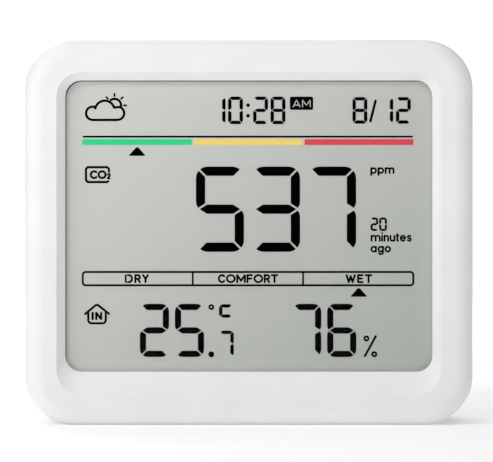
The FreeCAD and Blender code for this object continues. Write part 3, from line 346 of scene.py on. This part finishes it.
pin_steel = metal("steel_pin", srgb(196, 196, 196), 0.25, (1, 14, 14))
screw_metal = metal("screw_steel", srgb(96, 96, 100), 0.35)
gold = metal("sensor_gold", srgb(226, 190, 110), 0.3, (8, 1, 1), 0.5)
can = metal("capacitor_sleeve", srgb(196, 198, 204), 0.3, (1, 10, 1))
reflector = metal("lcd_reflector_film", srgb(206, 208, 202), 0.5, (1, 1, 1), 0.15)
window_clear = clear("window_acrylic", (0.985, 0.99, 0.985, 1), 1.1)
glass_grey = clear("lcd_glass", (0.8, 0.84, 0.8, 1), 1.4)
display_film_painted_light = film("lcd_film", (0.56, 0.579, 0.55, 1), (0.79, 0.783, 0.766, 1), 0.5)
board_green = laminate("board_laminate")
dust_mesh = woven("mesh_black", srgb(58, 58, 60), 0.35, 0.15)
BATTERY_BLUE, BATTERY_SILVER = srgb(34, 74, 124), srgb(206, 208, 212)
sleeve_upper = banded("cell_sleeve_upper", [(0.0, BATTERY_SILVER), (0.02, BATTERY_BLUE),
                                            (0.74, BATTERY_SILVER)], 0.32, -22.9, 27.4, 0.4)
sleeve_lower = banded("cell_sleeve_lower", [(0.0, BATTERY_SILVER), (0.26, BATTERY_BLUE),
                                            (0.98, BATTERY_SILVER)], 0.32, -27.4, 22.9, 0.4)

NODE_MATERIALS = {
    "front_shell": case_white, "rear_shell": case_white, "battery_door": case_white,
    "top_button": button_white, "unit_button": button_white, "kickstand": stand_white,
    "kickstand_foot": silicone, "stand_hinge_pins": pin_steel, "casing_screws": screw_metal,
    "board_screws": screw_metal, "window_adhesive": tape, "display_window": window_clear,
    "lcd_front_polariser": display_film_painted_light, "lcd_front_glass": glass_grey, "lcd_rear_glass": glass_grey,
    "lcd_reflector": reflector, "lcd_zebra_connector": zebra, "lcd_frame": frame_grey,
    "main_board": board_green, "co2_sensor_board": board_green, "air_sensor_board": board_green,
    "microcontroller": resin, "lcd_driver": resin, "crystal": tin, "boost_inductor": ferrite,
    "storage_capacitors": can, "usb_socket_shell": tin, "usb_socket_tongue": insulator,
    "co2_sensor_cell": gold, "co2_sensor_headers": switch_black, "co2_sensor_filter": membrane,
    "sensor_gasket": foam, "vent_dust_mesh": dust_mesh, "air_sensor_chip": resin,
    "air_sensor_flex": flex, "top_switch_body": switch_black, "top_switch_plunger": button_white,
    "unit_switch_body": switch_black, "unit_switch_plunger": button_white,
    "aa_cell_upper": sleeve_upper, "aa_cell_lower": sleeve_lower,
    "battery_positive_plate": nickel, "battery_negative_plate": nickel, "battery_link_plate": nickel,
    "battery_negative_spring": nickel, "battery_link_spring": nickel,
    "battery_lead_positive": red_wire, "battery_lead_negative": black_wire,
}
for name, material in NODE_MATERIALS.items():
    mesh = NODES[name].data
    if not mesh.materials:
        mesh.materials.append(material)
    for index in range(len(mesh.materials)):
        mesh.materials[index] = material


def ink(name, colour, painted_light_strength=0.0):
    """Display ink: nearly even, with a trace of grain. A printed filter glows a little, which is painted
    light, since nothing lights it from inside.
    """
    material, tree, node = shader(name, colour, 0.45, Specular_IOR_Level=0.0)
    grain = noise(tree, 0.3, 2.0)
    tree.links.new(tint(tree, grain, scaled(colour, 0.94), colour), node.inputs["Base Color"])
    tree.links.new(spread(tree, grain, 0.4, 0.5), node.inputs["Roughness"])
    if painted_light_strength:
        node.inputs["Emission Color"].default_value = colour
        node.inputs["Emission Strength"].default_value = painted_light_strength
    return material


# The coloured filters' glow is painted light.
FILTER_PAINTED_LIGHT_STRENGTH = 0.13
segment_ink = ink("segment_ink", BLACK_INK)
light_ink = ink("half_day_ink", srgb(214, 217, 211))
green_ink = ink("level_green_ink", (0.051, 0.725, 0.3, 1), FILTER_PAINTED_LIGHT_STRENGTH)
yellow_ink = ink("level_yellow_ink", (1.0, 0.74, 0.19, 1), FILTER_PAINTED_LIGHT_STRENGTH)
red_ink = ink("level_red_ink", (0.82, 0.085, 0.11, 1), FILTER_PAINTED_LIGHT_STRENGTH)


# ---------------------------------------------------------------- display artwork
# Everything below is in millimetres: x from the middle of the case, z up from the standing plane.
ART_PROUD_MM, ART_SUNK_MM = 0.03, 0.005
film_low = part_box("lcd_front_polariser")[0]
ART_FRONT = film_low.y / MM - ART_PROUD_MM
ART_BACK = film_low.y / MM + ART_SUNK_MM
ARC_STEP = math.radians(12)


def arc(cx, cz, rx, rz, start, end):
    """Points on an ellipse's arc, from one angle in degrees to another."""
    steps = max(2, math.ceil(abs(math.radians(end - start)) / ARC_STEP))
    angles = [math.radians(start + (end - start) * step / steps) for step in range(steps + 1)]
    return [(cx + rx * math.cos(angle), cz + rz * math.sin(angle)) for angle in angles]


def prism(mesh, outline):
    """A closed plate with the given outline."""
    area = sum(a[0] * b[1] - b[0] * a[1] for a, b in zip(outline, outline[1:] + outline[:1]))
    points = outline if area > 0 else outline[::-1]
    rows = []
    for level in (ART_FRONT, ART_BACK):
        rows.append([mesh.verts.new((x * MM, level * MM, z * MM)) for x, z in points])
    mesh.faces.new(rows[0])
    mesh.faces.new(rows[1][::-1])
    for index in range(len(points)):
        after = (index + 1) % len(points)
        mesh.faces.new((rows[0][after], rows[0][index], rows[1][index], rows[1][after]))


def strip(mesh, stations, closed):
    """A closed plate between pairs of side points."""
    rings = [[mesh.verts.new((x * MM, level * MM, z * MM)) for (x, z), level in
              ((left, ART_FRONT), (right, ART_FRONT), (right, ART_BACK), (left, ART_BACK))]
             for left, right in stations]
    pairs = list(zip(rings, rings[1:]))
    if closed:
        pairs.append((rings[-1], rings[0]))
    for first, second in pairs:
        for side in range(4):
            after = (side + 1) % 4
            mesh.faces.new((first[side], second[side], second[after], first[after]))
    if not closed:
        mesh.faces.new(rings[0])
        mesh.faces.new(rings[-1][::-1])


def unit(a, b):
    """The direction from one point to another."""
    dx, dz = b[0] - a[0], b[1] - a[1]
    length = math.hypot(dx, dz)
    return dx / length, dz / length


CAP_ANGLES = [math.radians(angle) for angle in (78, 52, 26, 0)]
SHARP_TURN = math.cos(math.radians(50))


def stroke(mesh, points, width, closed=False):
    """A line of even width with round ends. A sharp corner splits it into strokes that overlap."""
    if not closed:
        for index in range(1, len(points) - 1):
            before = unit(points[index - 1], points[index])
            after = unit(points[index], points[index + 1])
            if before[0] * after[0] + before[1] * after[1] < SHARP_TURN:
                stroke(mesh, points[:index + 1], width)
                stroke(mesh, points[index:], width)
                return
    half = width / 2
    stations = []
    count = len(points)
    for index, (x, z) in enumerate(points):
        before = points[index - 1] if index or closed else points[index]
        after = points[(index + 1) % count] if index < count - 1 or closed else points[index]
        dx, dz = unit(before, after)
        stations.append(((x - dz * half, z + dx * half), (x + dz * half, z - dx * half)))
    if not closed:
        for end, inner, sign in ((points[0], points[1], -1), (points[-1], points[-2], 1)):
            dx, dz = unit(inner, end)
            cap = []
            for angle in CAP_ANGLES:
                reach, across = half * math.sin(angle), half * math.cos(angle) * sign
                x, z = end[0] + dx * reach, end[1] + dz * reach
                cap.append(((x - dz * across, z + dx * across), (x + dz * across, z - dx * across)))
            if sign < 0:
                stations = cap[:-1] + stations
            else:
                stations = stations + cap[:-1][::-1]
    strip(mesh, stations, closed)


def piece(name, material, draw, body="case", lift_mm=0.0):
    """A named mesh piece that draw(mesh) fills, riding on a body and moved forwards by lift_mm."""
    mesh = bmesh.new()
    draw(mesh)
    bmesh.ops.translate(mesh, verts=mesh.verts, vec=(0, -lift_mm * MM, 0))
    bmesh.ops.recalc_face_normals(mesh, faces=mesh.faces)
    data = bpy.data.meshes.new(name)
    mesh.to_mesh(data)
    mesh.free()
    data.materials.append(material)
    item = bpy.data.objects.new(name, data)
    bpy.context.scene.collection.objects.link(item)
    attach(item, body)


# Seven-segment digits. The shares are of the segments' thickness.
OUTER_BEND, MIDDLE_TIP, MIDDLE_START, FOOT_TIP, SHOULDER = 1.28, 0.40, 0.18, 0.24, 0.64
DIGITS = {"0": "abcdef", "1": "bc", "2": "abged", "3": "abgcd", "5": "afgcd", "6": "afgedc",
          "7": "abc", "8": "abcdefg", "C": "afg"}
# Points of a side segment's rounded foot: shares of the foot's x and of the shoulder's height.
SHOULDER_CURVE = [(0.4, 0.4), (0.08, 0.75), (0.0, 1.1)]


def segment_outlines(width, height, thick, gap):
    """Outlines of the segments a, f and g in a digit's cell, whose lower left corner is the origin."""
    bend = OUTER_BEND * thick
    middle_z = height / 2
    lean = math.degrees(math.asin(gap / bend / math.sqrt(2)))
    corner = arc(bend, height - bend, bend, bend, 135 - lean, 90)
    top = corner + [(width - x, z) for x, z in corner[::-1]]
    top += [(width - thick - gap, height - thick), (thick + gap, height - thick)]
    tip_x = MIDDLE_TIP * thick
    flat_x = thick * (1 + MIDDLE_START)
    slope = thick / 2 / (flat_x - tip_x)
    bar = [(tip_x, middle_z), (flat_x, middle_z + thick / 2), (width - flat_x, middle_z + thick / 2),
           (width - tip_x, middle_z), (width - flat_x, middle_z - thick / 2),
           (flat_x, middle_z - thick / 2)]
    rise = math.sqrt(2) * gap * math.hypot(1, slope)
    foot_x = FOOT_TIP * thick
    foot_z = middle_z + rise + (foot_x - tip_x) * slope
    side = arc(bend, height - bend, bend, bend, 180, 135 + lean)
    side += [(thick, height - thick - gap), (thick, middle_z + rise + (thick - tip_x) * slope),
             (foot_x, foot_z)]
    side += [(foot_x * across, foot_z + SHOULDER * thick * up) for across, up in SHOULDER_CURVE]
    return top, side, bar


def digit(mesh, name, x, z, width, height, thick, gap):
    """One seven-segment digit with its cell's lower left corner at (x, z)."""
    top, side, bar = segment_outlines(width, height, thick, gap)
    shapes = {
        "a": top, "d": [(u, height - v) for u, v in top], "g": bar, "f": side,
        "b": [(width - u, v) for u, v in side], "e": [(u, height - v) for u, v in side],
        "c": [(width - u, height - v) for u, v in side],
    }
    for key in DIGITS[name]:
        prism(mesh, [(x + u, z + v) for u, v in shapes[key]])


def box_outline(x0, x1, z0, z1, bend=0.0):
    """A rectangle's outline, with round corners if bend is given."""
    if not bend:
        return [(x0, z0), (x1, z0), (x1, z1), (x0, z1)]
    return (arc(x1 - bend, z0 + bend, bend, bend, -90, 0) + arc(x1 - bend, z1 - bend, bend, bend, 0, 90)
            + arc(x0 + bend, z1 - bend, bend, bend, 90, 180)
            + arc(x0 + bend, z0 + bend, bend, bend, 180, 270))


LAST_ANGLE = 348             # where a full circle's points stop, one step before the first


def dot(mesh, x, z, radius):
    """A round plate."""
    prism(mesh, arc(x, z, radius, radius, 0, LAST_ANGLE))


def ring(mesh, x, z, radius, width, radius_z=None):
    """A closed round line, or an oval one if radius_z is given."""
    stroke(mesh, arc(x, z, radius, radius_z or radius, 0, LAST_ANGLE), width, closed=True)


# A plain one-line alphabet. Each letter has a width in letter heights and its lines in shares of its box.
LETTERS = {
    "C": (0.85, [arc(.55, .5, .55, .5, 42, 318)]),
    "D": (0.93, [[(0, 0), (0, 1), (.5, 1)] + arc(.5, .5, .5, .5, 80, -80) + [(.5, 0), (0, 0)]]),
    "E": (0.72, [[(1, 1), (0, 1), (0, 0), (1, 0)], [(0, .52), (.88, .52)]]),
    "F": (0.73, [[(1, 1), (0, 1), (0, 0)], [(0, .5), (.85, .5)]]),
    "M": (1.09, [[(0, 0), (0, 1), (.5, .2), (1, 1), (1, 0)]]),
    "O": (1.09, [arc(.5, .5, .5, .5, 0, 360)]),
    "R": (0.73, [[(0, 0), (0, 1), (.5, 1)] + arc(.5, .73, .5, .27, 80, -80) + [(.5, .46), (0, .46)],
                 [(.5, .46), (1, 0)]]),
    "T": (0.85, [[(0, 1), (1, 1)], [(.5, 1), (.5, 0)]]),
    "W": (1.15, [[(0, 1), (.26, 0), (.5, .85), (.74, 0), (1, 1)]]),
    "Y": (0.73, [[(0, 1), (.5, .45), (1, 1)], [(.5, .45), (.5, 0)]]),
    "2": (0.62, [arc(.5, .72, .5, .28, 165, -20) + [(0, 0), (1, 0)]]),
    "a": (0.95, [arc(.5, .5, .5, .5, 0, 360), [(1, 1), (1, 0)]]),
    "e": (0.92, [[(.02, .52), (.98, .52)] + arc(.5, .5, .5, .5, 5, 315)]),
    "g": (0.95, [arc(.5, .5, .5, .5, 0, 360), [(1, 1), (1, -.1)] + arc(.5, -.12, .5, .42, -10, -150)]),
    "i": (0.2, [[(.5, 0), (.5, 1)]]),
    "m": (1.45, [[(0, 0), (0, 1)], [(0, .62)] + arc(.25, .66, .25, .34, 160, 10) + [(.5, .6), (.5, 0)],
                 [(.5, .62)] + arc(.75, .66, .25, .34, 160, 10) + [(1, .6), (1, 0)]]),
    "n": (0.8, [[(0, 0), (0, 1)], [(0, .6)] + arc(.5, .6, .5, .4, 165, 10) + [(1, .55), (1, 0)]]),
    "o": (0.95, [arc(.5, .5, .5, .5, 0, 360)]),
    "p": (0.98, [[(0, 1), (0, -.42)], arc(.5, .5, .5, .5, 0, 360)]),
    "s": (0.74, [arc(.5, .76, .44, .24, 35, 250) + arc(.5, .25, .48, .25, 75, -150)]),
    "t": (0.5, [[(.3, 1.35), (.3, .3)] + arc(.75, .28, .45, .28, 195, 275), [(0, 1), (1, 1)]]),
    "u": (0.84, [[(0, 1), (0, .45)] + arc(.5, .42, .5, .42, 190, 350) + [(1, .5)], [(1, 1), (1, 0)]]),
}


LOOP_POINTS, LOOP_GAP_MM = 12, 0.01   # a line of more points, ending nearer its start, is a loop
I_DOT_RISE, I_DOT_RADIUS = 1.24, 0.55   # in letter heights and in line widths


def letters(mesh, text, x, z, height, width, gap):
    """Draws text from x to the right, on the base line z; height and gap are outer measures."""
    for name in text:
        share, lines = LETTERS[name]
        wide = max(share * height, width)
        for line in lines:
            points = [(x + width / 2 + u * (wide - width), z + width / 2 + v * (height - width))
                      for u, v in line]
            loop = len(points) > LOOP_POINTS and math.dist(points[0], points[-1]) < LOOP_GAP_MM
            stroke(mesh, points[:-1] if loop else points, width, closed=loop)
        if name == "i":
            dot(mesh, x + wide / 2, z + height * I_DOT_RISE, width * I_DOT_RADIUS)
        x += wide + gap


def draw_reading(mesh):
    """The large reading."""
    for name, x in (("5", -10.88), ("3", 0.64), ("7", 12.16)):
        digit(mesh, name, x, 35.45, 9.87, 17.52, 1.91, 0.27)


def draw_temperature(mesh):
    """The temperature, its degree sign and its C."""
    for name, x in (("2", -22.4), ("5", -15.2)):
        digit(mesh, name, x, 13.85, 6.0, 10.92, 1.29, 0.17)
    dot(mesh, -7.73, 14.4, 0.62)
    digit(mesh, "7", -6.12, 13.88, 3.02, 5.4, 0.72, 0.05)
    ring(mesh, -7.73, 24.1, 0.39, 0.42)
    digit(mesh, "C", -6.14, 19.83, 2.8, 4.86, 0.7, 0.04)


def draw_humidity(mesh):
    """The humidity and its per cent sign."""
    for name, x in (("7", 8.87), ("6", 16.07)):
        digit(mesh, name, x, 13.83, 6.0, 10.94, 1.29, 0.17)
    ring(mesh, 24.13, 17.66, 0.41, 0.42)
    ring(mesh, 25.75, 14.42, 0.41, 0.42)
    stroke(mesh, [(23.83, 14.05), (26.06, 18.1)], 0.46)


# Each row is z, width, height, thickness and gap.
TIME_DIGIT = (61.68, 3.06, 5.66, 0.7, 0.07)
DATE_DIGIT = (61.76, 3.05, 5.48, 0.7, 0.07)


def draw_time(mesh):
    """The time of day."""
    for name, x in (("1", -7.86), ("0", -4.28), ("2", 0.87), ("8", 4.45)):
        digit(mesh, name, x, *TIME_DIGIT)
    dot(mesh, -0.17, 65.56, 0.38)
    dot(mesh, -0.17, 63.4, 0.38)


def draw_date(mesh):
    """The month and the day."""
    for name, x in (("8", 21.28), ("1", 26.6), ("2", 30.2)):
        digit(mesh, name, x, *DATE_DIGIT)
    stroke(mesh, [(24.97, 62.3), (26.02, 66.48)], 0.52)


def draw_rule(mesh):
    """The thin line above the level bars."""
    prism(mesh, box_outline(-34.13, 33.68, 58.92, 59.3))


def draw_pointers(mesh):
    """The triangles under the level bars and under the humidity scale."""
    for x, z in ((-22.95, 55.17), (22.58, 26.22)):
        side = [(1.52, 0.0), (1.64, 0.06), (1.6, 0.2), (0.26, 1.68), (0.0, 1.8)]
        prism(mesh, [(x + u, z + v) for u, v in side] + [(x - u, z + v) for u, v in side[-2::-1]])


def draw_scale(mesh):
    """The humidity scale: a rounded box in three parts, and the word for each part."""
    x0, x1, z0, z1, bend, line = -34.12, 33.77, 28.58, 31.31, 0.56, 0.41
    stroke(mesh, box_outline(x0, x1, z0, z1, bend), line, closed=True)
    for x in (-11.53, 11.13):
        stroke(mesh, [(x, z0), (x, z1)], 0.37)
    for text, x, gap in (("DRY", -25.5, 0.28), ("COMFORT", -6.38, 0.11), ("WET", 19.86, 0.26)):
        letters(mesh, text, x, 29.03, 1.83, 0.41, gap)


def draw_units(mesh):
    """The unit of the large reading and the words for its age."""
    letters(mesh, "ppm", 24.94, 51.45, 1.38, 0.38, 0.13)
    digit(mesh, "2", 25.0, 39.74, 1.56, 2.76, 0.44, 0.0)
    digit(mesh, "0", 26.75, 39.74, 1.6, 2.76, 0.44, 0.02)
    letters(mesh, "minutes", 25.02, 37.53, 1.41, 0.37, 0.11)
    letters(mesh, "ago", 24.98, 35.31, 1.38, 0.38, 0.14)


def draw_weather(mesh):
    """A cloud with the sun behind it."""
    line = 0.5
    cloud = (arc(-29.6, 64.5, 2.0, 2.0, 168, 17) + arc(-26.99, 63.92, 1.37, 1.37, 70, -80)
             + [(-27.3, 62.54), (-31.8, 62.54)] + arc(-32.09, 63.91, 1.36, 1.36, 270, 75))
    stroke(mesh, cloud, line)
    sun_x, sun_z = -27.6, 65.52
    stroke(mesh, arc(sun_x, sun_z, 1.35, 1.35, -4, 124), line)
    for angle in (0, 45, 90, 135):
        across, up = math.cos(math.radians(angle)), math.sin(math.radians(angle))
        stroke(mesh, [(sun_x + across * 1.93, sun_z + up * 1.93),
                      (sun_x + across * 2.4, sun_z + up * 2.4)], 0.38)


def draw_gas_mark(mesh):
    """The gas's formula in a box that is open at the subscript."""
    x0, x1, z0, z1, bend, line = -33.46, -28.74, 49.78, 52.84, 0.55, 0.47
    frame_line = ([(x1, 51.95)] + arc(x1 - bend, z1 - bend, bend, bend, 0, 90)
                  + arc(x0 + bend, z1 - bend, bend, bend, 90, 180)
                  + arc(x0 + bend, z0 + bend, bend, bend, 180, 270)
                  + arc(x1 - bend, z0 + bend, bend, bend, 270, 315))
    stroke(mesh, frame_line, line)
    stroke(mesh, arc(-31.78, 51.3, 0.7, 0.68, 50, 310), 0.44)
    ring(mesh, -30.15, 51.3, 0.71, 0.44, 0.68)
    letters(mesh, "2", -29.18, 50.36, 1.3, 0.36, 0)


def draw_house(mesh):
    """A house with IN for the readings taken indoors."""
    line = 0.46
    stroke(mesh, [(-33.64, 22.69)] + arc(-31.21, 23.98, 0.55, 0.55, 127, 53) + [(-28.74, 22.72)], line)
    stroke(mesh, [(-33.0, 23.0)] + arc(-32.3, 21.47, 0.7, 0.7, 180, 270)
           + arc(-30.09, 21.47, 0.7, 0.7, 270, 360) + [(-29.39, 23.0)], line)
    stroke(mesh, [(-32.09, 21.66), (-32.09, 22.92)], 0.48)
    stroke(mesh, [(-31.35, 21.66), (-31.35, 22.92), (-30.35, 21.66), (-30.35, 22.92)], 0.46)


def draw_half_day(mesh):
    """AM in light letters on a dark box, which is drawn on its own."""
    foot, head, line = 65.25, 66.64, 0.2
    stroke(mesh, [(9.1, foot), (9.79, head), (10.48, foot)], line)
    stroke(mesh, [(9.3, foot + 0.33), (10.28, foot + 0.33)], line)
    stroke(mesh, [(11.02, foot), (11.02, head), (11.81, foot + 0.3), (12.6, head), (12.6, foot)], line)


def draw_half_day_box(mesh):
    """The dark box behind AM."""
    prism(mesh, box_outline(8.42, 13.2, 64.61, 67.32, 0.36))


SEGMENT_PIECES = [
    ("display_reading", draw_reading), ("display_temperature", draw_temperature),
    ("display_humidity", draw_humidity), ("display_time", draw_time), ("display_date", draw_date),
    ("display_rule", draw_rule), ("display_pointers", draw_pointers), ("display_scale", draw_scale),
    ("display_units", draw_units), ("display_weather", draw_weather),
    ("display_gas_mark", draw_gas_mark), ("display_house", draw_house),
    ("display_half_day_box", draw_half_day_box),
]
for name, draw in SEGMENT_PIECES:
    piece(name, segment_ink, draw)
HALF_DAY_LIFT_MM = 0.02
piece("display_half_day", light_ink, draw_half_day, lift_mm=HALF_DAY_LIFT_MM)
BAR_BOTTOM_MM, BAR_TOP_MM, BAR_BEND_MM = 57.4, 58.6, 0.06
for name, material, x0, x1 in (("level_green", green_ink, -34.2, -11.75),
                               ("level_yellow", yellow_ink, -11.2, 11.0),
                               ("level_red", red_ink, 11.45, 33.8)):
    outline = box_outline(x0, x1, BAR_BOTTOM_MM, BAR_TOP_MM, BAR_BEND_MM)
    piece(name, material, lambda mesh, outline=outline: prism(mesh, outline))


# ---------------------------------------------------------------- stage
FLOOR_RADIUS, FLOOR_SIDES, FLOOR_DROP = 0.8, 96, 0.00002    # the radius and the drop in metres
FLOOR_GLOW, FAR_FLOOR_GLOW = 0.2, 0.68
GLOW_START, GLOW_END = 0.1, 0.35    # metres from the middle between which the glow grows
PAPER_DRIFT_MM = 90.0
floor_paper, tree, node = shader("floor_paper", (0.93, 0.93, 0.93, 1), 0.9)
tree.links.new(tint(tree, noise(tree, PAPER_DRIFT_MM), (0.92, 0.92, 0.92, 1), (0.93, 0.93, 0.93, 1)),
               node.inputs["Base Color"])
node.inputs["Specular IOR Level"].default_value = 0.1
node.inputs["Emission Color"].default_value = (1, 1, 1, 1)
reach = add(tree, "ShaderNodeVectorMath", operation="LENGTH")
tree.links.new(add(tree, "ShaderNodeTexCoord").outputs["Object"], reach.inputs[0])
tree.links.new(spread(tree, reach.outputs["Value"], FLOOR_GLOW, FAR_FLOOR_GLOW, GLOW_START, GLOW_END),
               node.inputs["Emission Strength"])
floor_mesh = bpy.data.meshes.new("floor")
turns = [2 * math.pi * side / FLOOR_SIDES for side in range(FLOOR_SIDES)]
floor_mesh.from_pydata([(FLOOR_RADIUS * math.cos(turn), FLOOR_RADIUS * math.sin(turn), low.z - FLOOR_DROP)
                        for turn in turns], [], [range(FLOOR_SIDES)])
floor_mesh.materials.append(floor_paper)
floor = bpy.data.objects.new("floor", floor_mesh)
bpy.context.scene.collection.objects.link(floor)


LIGHT_TARGET = Vector((0.0, 0.0, 0.04))


def soft_light(name, place, size, power):
    """A rectangular light that faces the object."""
    data = bpy.data.lights.new(name, "AREA")
    data.shape = "RECTANGLE"
    data.size, data.size_y = size
    data.energy = power
    lamp = bpy.data.objects.new(name, data)
    bpy.context.scene.collection.objects.link(lamp)
    lamp.location = place
    lamp.rotation_euler = (LIGHT_TARGET - Vector(place)).to_track_quat("-Z", "Y").to_euler()


# Each row is name, place, size and power, in metres and watts.
LIGHTS = [
    ("key_near", (-0.3, -0.35, 0.3), (0.25, 0.25), 0.61),
    ("key_side", (-0.55, -0.25, 0.25), (0.3, 0.3), 0.68),
    ("front_fill", (0.0, -1.1, 0.8), (1.0, 0.6), 2.35),
    ("overhead", (0.0, 0.0, 1.2), (1.4, 1.4), 8.5),
    ("right_fill", (0.9, -0.5, 0.45), (0.6, 0.6), 0.72),
    ("back_fill", (-0.35, 1.0, 0.75), (0.9, 0.6), 4.2),
]
for name, place, size, power in LIGHTS:
    soft_light(name, place, size, power)

AMBIENT, WHITE_BEHIND = 0.08, 1.1
world = bpy.data.worlds.new("world")
bpy.context.scene.world = world
world.use_nodes = True
sky = world.node_tree.nodes["Background"]
sky.inputs["Color"].default_value = (1, 1, 1, 1)
sky.inputs["Strength"].default_value = AMBIENT
seen = add(world.node_tree, "ShaderNodeBackground")
seen.inputs["Color"].default_value = (1, 1, 1, 1)
seen.inputs["Strength"].default_value = WHITE_BEHIND
path = add(world.node_tree, "ShaderNodeLightPath")
choose = add(world.node_tree, "ShaderNodeMixShader")
world.node_tree.links.new(path.outputs["Is Camera Ray"], choose.inputs["Fac"])
world.node_tree.links.new(sky.outputs["Background"], choose.inputs[1])
world.node_tree.links.new(seen.outputs["Background"], choose.inputs[2])
world.node_tree.links.new(choose.outputs["Shader"],
                          world.node_tree.nodes["World Output"].inputs["Surface"])
bpy.context.scene.view_settings.view_transform = "Standard"
bpy.context.scene.view_settings.look = "None"
